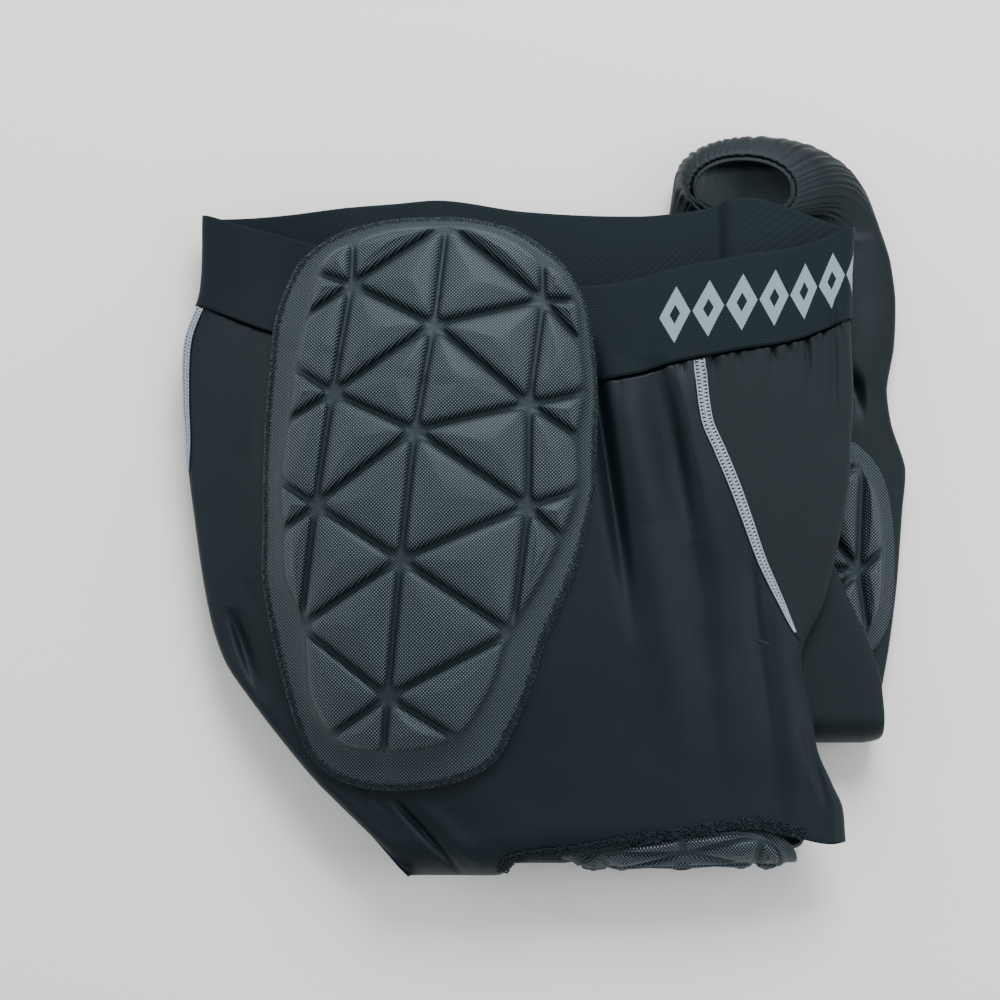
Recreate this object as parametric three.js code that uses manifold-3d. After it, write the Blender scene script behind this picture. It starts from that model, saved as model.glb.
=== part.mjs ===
// Padded compression tights for field sport, folded and lying on a surface with the hip pad up.
// Millimetres, +Z up. +Y points to the waist, +X to the front of the garment.
// The near side of the garment is its upper side here, and the far side is the one that lies below.

import Module from "manifold-3d";
import * as THREE from "three";

const wasm = await Module();
wasm.setup();
const { Manifold, Mesh: Solid } = wasm;

// Cloth, elastic and sewing.
const clothWall = 1.2;
const elasticWall = 2.0;
const bandHeight = 42;
const seamWidth = 3.6;
const seamThickness = 0.8;
const hemSeamWidth = 3.4;
const seamLift = 0.35;
const sewingGap = 0.5;
const bandGap = 1.0;

// Body of the garment as it lies, from the waist to the fold at the knee.
const bodyWidth = 297;
const bodyLength = 294;
const waistLoft = 18;
const edgeLoft = 7;
const edgeSlope = 50;
const droopReach = 70;
const curlRadius = 17;
const curlDrop = 17;

// Hip pads, one on each side. The foam stands on a thin sewn flange.
const padWidth = 144;
const padLength = 250;
const padRise = 14;
const padFlange = 2;
const kneePadStandoff = 1.2;
const tipClearance = 0.35;
const padFloor = 6.5;
const kneePadFloor = 4.5;
const standStart = 8;
const standRun = 6;
const padHeight = 12;
const facetBevel = 4.0;
const facetCrown = 0.7;
const facetStep = 24;
const flangeThinning = 0.6;

// Knee pads, one on each leg.
const kneePadWidth = 88;
const kneePadLength = 108;
const kneePadHeight = 10.5;
const nearKneeWidth = 100;
const nearKneeHeight = 6.5;
const hemOverlap = 2;
const nearKneeEnd = 2.2;

// Lower legs. Each lies flat under the body, folded back at the knee.
const legWidth = 104;
const legHeight = 13;
const thighHeight = 3.2;
const farLegReach = 0.9456 * bodyLength;
const cuffHeight = 26;
const gatherDepth = 1.2;
const gatherCount = 10;
const foldSteps = 5;

// Room between the layers of the stack.
const layerGap = 0.4;
const padSeat = 1.8;
const farPadSeat = 2.2;

// Heights in the stack, from the floor up.
const kneePadBase = legHeight + layerGap;
const farThighFloor = kneePadBase + kneePadHeight + facetCrown + layerGap;
const farThighTop = farThighFloor + thighHeight;
const rightStack = farThighTop + layerGap;
const leftStack = legHeight + layerGap + padHeight + facetCrown + farPadSeat;
const bodyFloor = Math.max(rightStack, leftStack);
const nearLegHeight = bodyFloor - farPadSeat - padHeight - facetCrown - layerGap;

// Places in plan, measured from the middle of the body.
const bodyCentreX = -11;
const waistY = 133;
const padCentreX = bodyCentreX - 0.263 * (bodyWidth / 2);
const padCentreY = waistY - 0.459 * bodyLength;
const farLegX = bodyCentreX + 0.794 * (bodyWidth / 2);
const farFoldY = waistY - 0.806 * bodyLength;
const kneePadX = farLegX + 0.03 * legWidth;
const kneePadY = farFoldY + 0.302 * farLegReach;
const nearKneeX = bodyCentreX + 0.451 * (bodyWidth / 2);

// Edges of the body in plan: shares of the length down from the waist, and of the half width.
const bodyOutline = [
  { down: -0.1, left: -0.965, right: 1.0 },
  { down: 0.0, left: -0.965, right: 1.0 },
  { down: 0.12, left: -0.968, right: 0.982 },
  { down: 0.2, left: -1.016, right: 0.978 },
  { down: 0.29, left: -1.014, right: 0.98 },
  { down: 0.37, left: -0.998, right: 0.968 },
  { down: 0.44, left: -0.98, right: 0.956 },
  { down: 0.6, left: -0.924, right: 0.879 },
  { down: 0.685, left: -0.868, right: 0.805 },
  { down: 0.75, left: -0.777, right: 0.828 },
  { down: 0.82, left: -0.665, right: 0.845 },
  { down: 0.87, left: -0.577, right: 0.888 },
  { down: 0.9, left: -0.512, right: 0.915 },
  { down: 0.94, left: -0.43, right: 0.922 },
  { down: 0.975, left: -0.359, right: 0.925 },
  { down: 1.02, left: -0.28, right: 0.928 },
  { down: 1.1, left: -0.25, right: 0.93 },
];

// Height of the folded edges above the floor: shares of the height of the body's floor.
const edgeHeights = [
  { down: 0.0, left: 0.4, right: 1.0 },
  { down: 0.35, left: 0.35, right: 1.0 },
  { down: 0.65, left: 0.42, right: 1.0 },
  { down: 0.76, left: 0.62, right: 1.0 },
  { down: 0.83, left: 0.72, right: 1.0 },
  { down: 0.92, left: 0.85, right: 0.85 },
  { down: 1.1, left: 0.9, right: 0.8 },
];

// Upper edge of the waistband: shares of the length down, against the share across.
const nearWaist = [
  { across: -1.0, down: 0.0 },
  { across: -0.88, down: 0.024 },
  { across: -0.65, down: 0.075 },
  { across: -0.22, down: 0.142 },
  { across: 0.17, down: 0.144 },
  { across: 0.34, down: 0.133 },
  { across: 0.45, down: 0.116 },
  { across: 0.63, down: 0.098 },
  { across: 0.82, down: 0.078 },
  { across: 1.0, down: 0.037 },
];
const farWaist = [
  { across: -1.0, down: 0.0 },
  { across: -0.69, down: 0.005 },
  { across: -0.42, down: -0.004 },
  { across: -0.25, down: -0.01 },
  { across: 0.0, down: 0.008 },
  { across: 0.34, down: 0.015 },
  { across: 0.53, down: 0.005 },
  { across: 0.67, down: -0.012 },
  { across: 0.8, down: 0.003 },
  { across: 1.0, down: 0.037 },
];

// Start of the roll over the knee fold, and how far the near cloth rolls before its hem.
const kneeFold = [
  { across: -1.0, down: 0.94, roll: 0.0 },
  { across: -0.85, down: 0.94, roll: 1.0 },
  { across: -0.6, down: 0.94, roll: 0.75 },
  { across: -0.5, down: 0.937, roll: 0.45 },
  { across: -0.21, down: 0.928, roll: 0.4 },
  { across: 0.22, down: 0.925, roll: 0.22 },
  { across: 0.6, down: 0.923, roll: 0.08 },
  { across: 0.72, down: 0.925, roll: 0.1 },
  { across: 0.85, down: 0.929, roll: 0.12 },
  { across: 0.93, down: 0.934, roll: 0.08 },
  { across: 1.0, down: 0.937, roll: 0.0 },
];

// Share of the full loft that the body keeps at each level.
const loftShares = [
  { down: 0.0, loft: 1.0 },
  { down: 0.3, loft: 0.92 },
  { down: 0.6, loft: 0.75 },
  { down: 0.9, loft: 0.5 },
  { down: 1.1, loft: 0.5 },
];

// Seams. The front one is in shares of the half width from the middle, to the fold at the crotch.
const frontSeam = [
  { down: 0.0, across: 0.5 },
  { down: 0.25, across: 0.519 },
  { down: 0.343, across: 0.536 },
  { down: 0.388, across: 0.572 },
  { down: 0.44, across: 0.613 },
  { down: 0.49, across: 0.648 },
  { down: 0.55, across: 0.69 },
  { down: 0.6, across: 0.736 },
  { down: 0.65, across: 0.781 },
  { down: 0.664, across: 0.8 },
  { down: 0.678, across: 0.87 },
  { down: 1.1, across: 1.2 },
];
const backSeamTurns = [
  { down: 0.0, turn: 0.462 },
  { down: 0.12, turn: 0.466 },
  { down: 0.3, turn: 0.4725 },
  { down: 0.36, turn: 0.476 },
  { down: 0.43, turn: 0.495 },
  { down: 0.6, turn: 0.53 },
  { down: 1.1, turn: 0.53 },
];

// Folds in the near cloth: x at the waist and how it leans, as shares of the half width,
// the stretch down that each one runs, its height (a valley is negative) and its half width.
const foldHeight = 5;
const foldSpread = 7;
const folds = [
  { x: 0.245, lean: 0.13, from: 0.27, to: 0.7, height: -1.1, spread: 0.8 },
  { x: 0.33, lean: 0.15, from: 0.27, to: 0.72, height: 0.55, spread: 0.9 },
  { x: 0.425, lean: 0.12, from: 0.26, to: 0.66, height: -0.7, spread: 0.8 },
  { x: 0.49, lean: 0.14, from: 0.27, to: 0.6, height: 0.35, spread: 0.8 },
];

// The far leg: shares of its length from the knee fold, and of its width from its middle.
const farThighRows = [
  { along: 0.3, left: -0.37, right: 0.15 },
  { along: 0.23, left: -0.4, right: 0.22 },
  { along: 0.16, left: -0.41, right: 0.3 },
  { along: 0.1, left: -0.413, right: 0.35 },
];
const farLegRows = [
  { along: 0.15, left: -0.43, right: 0.427 },
  { along: 0.25, left: -0.45, right: 0.47 },
  { along: 0.37, left: -0.48, right: 0.505 },
  { along: 0.44, left: -0.48, right: 0.525 },
  { along: 0.51, left: -0.48, right: 0.472 },
  { along: 0.57, left: -0.48, right: 0.457 },
  { along: 0.64, left: -0.48, right: 0.495 },
  { along: 0.72, left: -0.48, right: 0.509 },
  { along: 0.79, left: -0.48, right: 0.49 },
];
// Its end turns up. Heights are shares of the height of the mouth.
const cuffRows = [
  { innerAlong: 0.835, outerAlong: 0.885, innerUp: 0.54, outerUp: 0.0, left: -0.475, right: 0.44, round: 0.2, ripple: 0.0 },
  { innerAlong: 0.846, outerAlong: 0.945, innerUp: 0.62, outerUp: 0.015, left: -0.46, right: 0.4, round: 0.5, ripple: 0.3 },
  { innerAlong: 0.846, outerAlong: 0.985, innerUp: 0.72, outerUp: 0.17, left: -0.45, right: 0.345, round: 0.8, ripple: 0.8 },
  { innerAlong: 0.84, outerAlong: 0.994, innerUp: 0.82, outerUp: 0.46, left: -0.445, right: 0.28, round: 0.95, ripple: 1.0 },
  { innerAlong: 0.832, outerAlong: 0.981, innerUp: 0.93, outerUp: 0.81, left: -0.43, right: 0.19, round: 1.0, ripple: 0.9 },
  { innerAlong: 0.825, outerAlong: 0.948, innerUp: 1.0, outerUp: 1.0, left: -0.41, right: 0.07, round: 1.0, ripple: 0.4 },
];

// The near leg from its hidden end to the fold at the knee: shares of the size of the body.
const nearLegRows = [
  { innerDown: 0.235, outerDown: 0.235, innerUp: 1.0, outerUp: 0.0, left: -0.26, right: 0.385 },
  { innerDown: 0.45, outerDown: 0.45, innerUp: 1.0, outerUp: 0.0, left: -0.29, right: 0.375 },
  { innerDown: 0.65, outerDown: 0.65, innerUp: 1.0, outerUp: 0.0, left: -0.3, right: 0.385 },
  { innerDown: 0.805, outerDown: 0.805, innerUp: 1.0, outerUp: 0.0, left: -0.3, right: 0.41 },
  { innerDown: 0.84, outerDown: 0.845, innerUp: 1.0, outerUp: 0.0, left: -0.31, right: 0.6 },
  { innerDown: 0.88, outerDown: 0.9, innerUp: 0.98, outerUp: 0.0, left: -0.32, right: 0.78 },
  { innerDown: 0.905, outerDown: 0.95, innerUp: 0.98, outerUp: 0.08, left: -0.31, right: 0.84 },
  { innerDown: 0.92, outerDown: 0.967, innerUp: 1.02, outerUp: 0.72, left: -0.29, right: 0.82 },
];

// Hip pad: its rim and outer edge, and the stars where its grooves meet. Shares of its half size.
const hipRim = [
  { node: "T0", x: 0.1, y: 0.933, edgeX: 0.098, edgeY: 0.978 },
  { node: "t1", x: 0.298, y: 0.923, edgeX: 0.309, edgeY: 0.965 },
  { node: "t2", x: 0.489, y: 0.885, edgeX: 0.508, edgeY: 0.934 },
  { node: "C1a", x: 0.669, y: 0.811, edgeX: 0.688, edgeY: 0.87 },
  { node: "t3", x: 0.788, y: 0.762, edgeX: 0.814, edgeY: 0.798 },
  { node: "C1b", x: 0.882, y: 0.666, edgeX: 0.92, edgeY: 0.684 },
  { node: "C1c", x: 0.904, y: 0.51, edgeX: 0.978, edgeY: 0.525 },
  { node: "C2a", x: 0.926, y: 0.346, edgeX: 0.999, edgeY: 0.349 },
  { node: "C2b", x: 0.882, y: 0.186, edgeX: 0.991, edgeY: 0.193 },
  { node: "C3a", x: 0.886, y: 0.011, edgeX: 0.977, edgeY: 0.021 },
  { node: "C3b", x: 0.785, y: -0.157, edgeX: 0.922, edgeY: -0.134 },
  { node: "t4", x: 0.679, y: -0.287, edgeX: 0.832, edgeY: -0.297 },
  { node: "C4", x: 0.487, y: -0.474, edgeX: 0.685, edgeY: -0.489 },
  { node: "t5", x: 0.4, y: -0.626, edgeX: 0.597, edgeY: -0.655 },
  { node: "t6", x: 0.302, y: -0.734, edgeX: 0.493, edgeY: -0.788 },
  { node: "DR", x: 0.181, y: -0.823, edgeX: 0.388, edgeY: -0.893 },
  { node: "t7", x: -0.015, y: -0.858, edgeX: 0.157, edgeY: -0.962 },
  { node: "D0", x: -0.255, y: -0.87, edgeX: -0.193, edgeY: -0.988 },
  { node: "t8", x: -0.444, y: -0.855, edgeX: -0.489, edgeY: -0.96 },
  { node: "DL", x: -0.582, y: -0.811, edgeX: -0.705, edgeY: -0.866 },
  { node: "t9", x: -0.708, y: -0.667, edgeX: -0.836, edgeY: -0.68 },
  { node: "A4", x: -0.742, y: -0.445, edgeX: -0.938, edgeY: -0.458 },
  { node: "t10", x: -0.86, y: -0.271, edgeX: -1.0, edgeY: -0.27 },
  { node: "A3b", x: -0.867, y: -0.123, edgeX: -1.0, edgeY: -0.116 },
  { node: "A3a", x: -0.889, y: 0.055, edgeX: -1.0, edgeY: 0.055 },
  { node: "A2b", x: -0.843, y: 0.247, edgeX: -0.991, edgeY: 0.262 },
  { node: "A2a", x: -0.807, y: 0.438, edgeX: -0.966, edgeY: 0.455 },
  { node: "A1c", x: -0.739, y: 0.608, edgeX: -0.935, edgeY: 0.632 },
  { node: "A1b", x: -0.684, y: 0.769, edgeX: -0.839, edgeY: 0.787 },
  { node: "t11", x: -0.606, y: 0.837, edgeX: -0.735, edgeY: 0.859 },
  { node: "A1a", x: -0.456, y: 0.881, edgeX: -0.534, edgeY: 0.927 },
  { node: "t12", x: -0.211, y: 0.922, edgeX: -0.245, edgeY: 0.968 },
];
const hipStars = [
  { node: "A1", x: -0.46, y: 0.715 },
  { node: "B1", x: 0.03, y: 0.564 },
  { node: "C1", x: 0.673, y: 0.665 },
  { node: "A2", x: -0.561, y: 0.333 },
  { node: "B2", x: -0.075, y: 0.195 },
  { node: "C2", x: 0.587, y: 0.295 },
  { node: "A3", x: -0.653, y: -0.047 },
  { node: "B3", x: -0.152, y: -0.237 },
  { node: "C3", x: 0.58, y: -0.054 },
  { node: "B4", x: -0.227, y: -0.683 },
];

const hipCells = [
  "A1 T0 B1", "T0 C1 B1", "A1 B1 A2", "B1 C1 C2", "A2 B1 B2", "B1 C2 B2", "A2 B2 A3", "B2 C2 C3",
  "A3 B2 B3", "B2 C3 B3", "A3 B3 A4", "B3 C3 C4", "A4 B3 B4", "B3 C4 B4", "A4 B4 DL t9", "B4 C4 t5 t6 DR",
  "B4 DL t8 D0", "B4 D0 t7 DR", "T0 t1 t2 C1a C1", "C1 C1a t3 C1b", "C1 C1b C1c", "C1 C1c C2a C2",
  "C2 C2a C2b", "C2 C2b C3a C3", "C3 C3a C3b", "C3 C3b t4 C4", "A4 t10 A3b A3", "A3 A3b A3a",
  "A3 A3a A2b A2", "A2 A2b A2a", "A2 A2a A1c A1", "A1 A1c A1b", "A1 A1b t11 A1a", "A1 A1a t12 T0",
];
const kneeStars = [
  { node: "K1", x: 0.61, y: -0.18 },
  { node: "K2", x: -0.55, y: -0.1 },
  { node: "K3", x: 0.02, y: 0.48 },
  { node: "K4", x: 0.02, y: -0.58 },
];
const kneeCells = [
  "K1 K3 K2", "K1 K2 K4", "K1 R02 K3", "K1 R00 R01 R02", "K1 R14 R15 R00", "K1 K4 R14", "K3 R02 R03 R04",
  "K3 R04 R05 R06", "K2 K3 R06", "K2 R06 R07 R08", "K2 R08 R09 R10", "K2 R10 K4", "K4 R10 R11 R12", "K4 R12 R13 R14",
];

// Reading a table as a smooth curve.
function read(table, key, column, at) {
  const last = table.length - 1;
  if (at <= table[0][key]) return table[0][column];
  if (at >= table[last][key]) return table[last][column];
  let k = 0;
  while (at > table[k + 1][key]) k++;
  const slope = (i) => {
    const a = table[Math.max(i - 1, 0)];
    const b = table[Math.min(i + 1, last)];
    return (b[column] - a[column]) / (b[key] - a[key]);
  };
  const span = table[k + 1][key] - table[k][key];
  const t = (at - table[k][key]) / span;
  const t2 = t * t;
  const t3 = t2 * t;
  return (
    table[k][column] * (2 * t3 - 3 * t2 + 1) +
    table[k + 1][column] * (3 * t2 - 2 * t3) +
    slope(k) * span * (t3 - 2 * t2 + t) +
    slope(k + 1) * span * (t3 - t2)
  );
}

const lerp = (a, b, t) => a + (b - a) * t;
const smooth = (t) => THREE.MathUtils.smoothstep(t, 0, 1);

// Shape of the body in plan.
function bodySides(down) {
  const left = bodyCentreX + (read(bodyOutline, "down", "left", down) * bodyWidth) / 2;
  const right = bodyCentreX + (read(bodyOutline, "down", "right", down) * bodyWidth) / 2;
  return { left, right, middle: (left + right) / 2, half: (right - left) / 2 };
}

const downAt = (y) => (waistY - y) / bodyLength;

// Height of the underside of the body over the floor.
function bodyUnderside(x, y) {
  const down = downAt(y);
  const { left, right } = bodySides(down);
  const leftDrop = 1 - read(edgeHeights, "down", "left", down);
  const rightDrop = 1 - read(edgeHeights, "down", "right", down);
  const drop =
    leftDrop * (1 - smooth((x - left) / droopReach)) + rightDrop * (1 - smooth((right - x) / droopReach));
  return bodyFloor * (1 - drop);
}

function bodyThickness(x, y) {
  const down = downAt(y);
  const { left, right } = bodySides(down);
  const inside = Math.min(x - left, right - x);
  const loft = waistLoft * read(loftShares, "down", "loft", down);
  return 2 * clothWall + lerp(Math.min(edgeLoft, loft), loft, smooth(inside / edgeSlope));
}

// Rise of the cloth under the stiff hip pad.
function padMound(x, y) {
  const across = (x - padCentreX) / (0.6 * padWidth);
  const along = (y - padCentreY) / (0.58 * padLength);
  const r2 = across * across + along * along;
  return r2 < 1 ? padRise * (1 - r2) * (1 - r2) : 0;
}

function foldRelief(x, y) {
  const down = downAt(y);
  let relief = 0;
  for (const fold of folds) {
    const along = (down - fold.from) / (fold.to - fold.from);
    if (along <= 0 || along >= 1) continue;
    const centre = bodyCentreX + ((fold.x + fold.lean * along) * bodyWidth) / 2;
    const off = (x - centre) / (foldSpread * fold.spread);
    relief += foldHeight * fold.height * Math.exp(-off * off) * Math.sin(Math.PI * Math.sqrt(along));
  }
  return relief;
}

// Upper surface of the near cloth, as if it had no rounded edge.
function bodyTop(x, y) {
  return bodyUnderside(x, y) + bodyThickness(x, y) + padMound(x, y);
}

// Point on the outside of the body. A turn of 0 is the front edge, 0.25 the middle of the near
// side, 0.5 the back edge and 0.75 the middle of the far side. Down is a share of the length.
function bodyPoint(turn, down) {
  const across = Math.cos(2 * Math.PI * turn);
  const near = turn % 1 < 0.5 && turn > 0;
  const rollStart = read(kneeFold, "across", "down", across);
  const flatDown = Math.min(down, rollStart);
  const rolled = near ? Math.min((bodyLength * (down - flatDown)) / curlRadius, Math.PI / 2) : 0;
  const { middle, half } = bodySides(flatDown + (curlRadius * Math.sin(rolled)) / bodyLength);
  const x = middle + half * across;
  const y = waistY - bodyLength * flatDown;
  const thickness = bodyThickness(x, y);
  const inside = Math.min((half * (1 - Math.abs(across))) / (0.7 * thickness), 1);
  const round = Math.sqrt(1 - (1 - inside) * (1 - inside));
  const middleZ = bodyUnderside(x, y) + thickness / 2;
  if (!near) return new THREE.Vector3(x, y - bodyLength * (down - flatDown), middleZ - (round * thickness) / 2);
  const top = middleZ + (round * thickness) / 2 + (padMound(x, y) + foldRelief(x, y)) * round;
  const angle = (bodyLength * (down - flatDown)) / curlRadius;
  return new THREE.Vector3(
    x,
    y - curlRadius * Math.sin(angle),
    top - curlDrop * (1 - Math.cos(angle)) * round,
  );
}

function waistDown(turn) {
  const across = Math.cos(2 * Math.PI * turn);
  const near = turn % 1 < 0.5;
  return read(near ? nearWaist : farWaist, "across", "down", across);
}

function hemDown(turn) {
  const across = Math.cos(2 * Math.PI * turn);
  const start = read(kneeFold, "across", "down", across);
  if (turn % 1 >= 0.5) return start;
  const roll = Math.max(read(kneeFold, "across", "roll", across), 0);
  return start + (roll * 0.62 * Math.PI * curlRadius) / bodyLength;
}

// Outward direction of a surface that is given as a function of two shares.
function outward(surface, u, v) {
  const e = 1e-4;
  const alongU = surface(u + e, v).sub(surface(u - e, v));
  const alongV = surface(u, v + e).sub(surface(u, v - e));
  return alongU.cross(alongV).normalize();
}

function bodyOutward(turn, down) {
  return outward(bodyPoint, turn, down);
}

// Change of turn that moves a point by a distance along the cloth.
function turnStep(turn, down, distance) {
  const e = 1e-3;
  return (distance * 2 * e) / bodyPoint(turn + e, down).distanceTo(bodyPoint(turn - e, down));
}

// A closed mesh from a list of points and a list of faces, turned so that it faces out.
function meshOf(points, faces) {
  const positions = new Float32Array(points.flatMap((p) => [p.x, p.y, p.z]));
  let volume = 0;
  for (const [a, b, c] of faces) {
    volume += points[a].dot(points[b].clone().cross(points[c]));
  }
  const turned = volume < 0 ? faces.map(([a, b, c]) => [a, c, b]) : faces;
  const geometry = new THREE.BufferGeometry();
  geometry.setAttribute("position", new THREE.BufferAttribute(positions, 3));
  geometry.setIndex(turned.flat());
  geometry.computeVertexNormals();
  return geometry;
}

// A sheet with two faces, each a grid of rows of points. A sheet that is closed across is a ring.
function sheetOf(outer, inner, closed) {
  const rows = outer.length;
  const columns = outer[0].length;
  const points = [...outer.flat(), ...inner.flat()];
  const at = (layer, j, i) => layer * rows * columns + j * columns + (i % columns);
  const faces = [];
  const quad = (a, b, c, d) => faces.push([a, b, c], [a, c, d]);
  const spans = closed ? columns : columns - 1;
  for (let j = 0; j < rows - 1; j++) {
    for (let i = 0; i < spans; i++) {
      quad(at(0, j, i), at(0, j, i + 1), at(0, j + 1, i + 1), at(0, j + 1, i));
      quad(at(1, j, i), at(1, j + 1, i), at(1, j + 1, i + 1), at(1, j, i + 1));
    }
    if (closed) continue;
    quad(at(0, j, 0), at(0, j + 1, 0), at(1, j + 1, 0), at(1, j, 0));
    quad(at(0, j, columns - 1), at(1, j, columns - 1), at(1, j + 1, columns - 1), at(0, j + 1, columns - 1));
  }
  for (let i = 0; i < spans; i++) {
    quad(at(0, 0, i), at(1, 0, i), at(1, 0, i + 1), at(0, 0, i + 1));
    quad(at(0, rows - 1, i), at(0, rows - 1, i + 1), at(1, rows - 1, i + 1), at(1, rows - 1, i));
  }
  return meshOf(points, faces);
}

const shares = (count) => Array.from({ length: count + 1 }, (_, k) => k / count);

// A panel of the body between two seams. Lift is how far its inner face stands off the cloth.
function bodyPanel({ from, to, columns, rows, start, end, lift, wall, closed }) {
  const outer = [];
  const inner = [];
  for (const r of rows) {
    const outerRow = [];
    const innerRow = [];
    for (const c of closed ? columns.slice(0, -1) : columns) {
      let down = lerp(0.2, 0.9, r);
      let turn = 0;
      for (let pass = 0; pass < 30; pass++) {
        turn = lerp(from(down), to(down), c);
        down = lerp(down, lerp(start(turn), end(turn), r), 0.4);
      }
      const point = bodyPoint(turn, down);
      const normal = bodyOutward(turn, down);
      innerRow.push(point.clone().addScaledVector(normal, lift));
      outerRow.push(point.clone().addScaledVector(normal, lift + wall));
    }
    outer.push(outerRow);
    inner.push(innerRow);
  }
  return sheetOf(outer, inner, closed);
}

const frontSeamTurn = (down) => {
  const { middle, half } = bodySides(down);
  const x = bodyCentreX + (read(frontSeam, "down", "across", down) * bodyWidth) / 2;
  const limit = lerp(0.9978, 0.9996, smooth((down - 0.68) / 0.02));
  return Math.acos(Math.min((x - middle) / half, limit)) / (2 * Math.PI);
};
const backSeamTurn = (down) => read(backSeamTurns, "down", "turn", down);
const frontTip = 0.685;
const backTip = 0.45;
const bandShare = bandHeight / bodyLength;
const clothStart = (turn) => waistDown(turn) + bandShare + bandGap / bodyLength;
const panelRows = [0, 0.04, 0.1, 0.18, 0.27, 0.36, 0.45, 0.53, 0.59, 0.64, 0.685, 0.71, 0.75, 0.82, 0.88, 0.92, 0.96, 1];
const farColumns = [0, 0.05, 0.1, 0.15, 0.2, 0.26, 0.33, 0.41, 0.5, 0.59, 0.68, 0.77, 0.86, 0.94, 1];
const nearColumns = [
  0, 0.035, 0.07, 0.11, 0.15, 0.19, 0.23, 0.27, 0.32, 0.37, 0.42, 0.47, 0.52, 0.57, 0.62, 0.67, 0.72, 0.77, 0.82,
  0.87, 0.92, 0.96, 1,
];

function nearPanel() {
  return bodyPanel({
    from: (down) => frontSeamTurn(down) + turnStep(frontSeamTurn(down), down, sewingGap / 2),
    to: (down) => backSeamTurn(down) - turnStep(backSeamTurn(down), down, sewingGap / 2),
    columns: nearColumns,
    rows: panelRows,
    start: clothStart,
    end: hemDown,
    lift: -clothWall,
    wall: clothWall,
    closed: false,
  });
}

function farPanel() {
  return bodyPanel({
    from: (down) => backSeamTurn(down) + turnStep(backSeamTurn(down), down, sewingGap / 2),
    to: (down) => 1 - frontSeamTurn(down) - turnStep(1 - frontSeamTurn(down), down, sewingGap / 2),
    columns: farColumns,
    rows: panelRows,
    start: (turn) => clothStart(turn) + sewingGap / bodyLength,
    end: hemDown,
    lift: -clothWall,
    wall: clothWall,
    closed: false,
  });
}

// The front panel. Extra lets it be made a little too big, to cut its neighbours to fit its tip.
function frontPanel(firstRow, extra) {
  const gap = sewingGap / 2 - extra;
  return bodyPanel({
    from: (down) => -frontSeamTurn(down) + turnStep(frontSeamTurn(down), down, gap),
    to: (down) => frontSeamTurn(down) - turnStep(frontSeamTurn(down), down, gap),
    columns: shares(12),
    rows: panelRows.filter((r) => r >= firstRow && r <= frontTip),
    start: (turn) => clothStart(turn < 0 ? turn + 1 : turn),
    end: (turn) => hemDown(turn < 0 ? turn + 1 : turn),
    lift: -clothWall - extra,
    wall: clothWall + 2 * extra,
    closed: false,
  });
}

function waistband() {
  return bodyPanel({
    from: () => 0,
    to: () => 1,
    columns: shares(46),
    rows: shares(3),
    start: waistDown,
    end: (turn) => waistDown(turn) + bandShare,
    lift: -clothWall,
    wall: elasticWall,
    closed: true,
  });
}

function seamStrip(seamTurn, start, end, taper) {
  const half = (down) => (seamWidth / 2) * (1 - taper * smooth((down - 0.56) / 0.08));
  return bodyPanel({
    from: (down) => seamTurn(down) - turnStep(seamTurn(down), down, half(down)),
    to: (down) => seamTurn(down) + turnStep(seamTurn(down), down, half(down)),
    columns: [0, 0.5, 1],
    rows: panelRows.filter((r) => r >= start && r <= end),
    start: clothStart,
    end: hemDown,
    lift: seamLift,
    wall: seamThickness,
    closed: false,
  });
}

// A flattened tube. Each section is an oval that spans from its inner point to its outer point in
// the plane of the leg, and from its left edge to its right edge across. Ripples are gathers.
function tubeRing(section, columns, shrink) {
  const inner = new THREE.Vector2(section.innerY, section.innerZ);
  const outer = new THREE.Vector2(section.outerY, section.outerZ);
  const middle = inner.clone().add(outer).multiplyScalar(0.5);
  const tall = inner.distanceTo(outer) / 2;
  const along = inner.clone().sub(outer).normalize();
  const centre = (section.left + section.right) / 2;
  const wide = (section.right - section.left) / 2;
  return shares(columns)
    .slice(0, -1)
    .map((turn) => {
      const c = Math.cos(2 * Math.PI * turn);
      const s = Math.sin(2 * Math.PI * turn);
      const ripple = (section.ripple || 0) * Math.cos(2 * Math.PI * gatherCount * turn);
      const across = Math.sign(c) * (Math.abs(c) ** section.square * (wide - shrink) + Math.abs(c) * ripple);
      const rise = Math.min(flatness(section) * Math.abs(s) ** section.square, 1);
      const up = Math.sign(s) * (rise * (tall - shrink) + Math.abs(s) * ripple);
      return new THREE.Vector3(centre + across, middle.x + along.x * up, middle.y + along.y * up);
    });
}

// A flattened section has level faces over most of its width, and a round one has none.
const flatness = (section) => (section.square < 0.6 ? 1.15 : 1);

function tube(sections, columns, shrink, wall) {
  const rings = (inset) => sections.map((section) => tubeRing(section, columns, inset));
  return sheetOf(rings(shrink), rings(shrink + wall), true);
}

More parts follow.
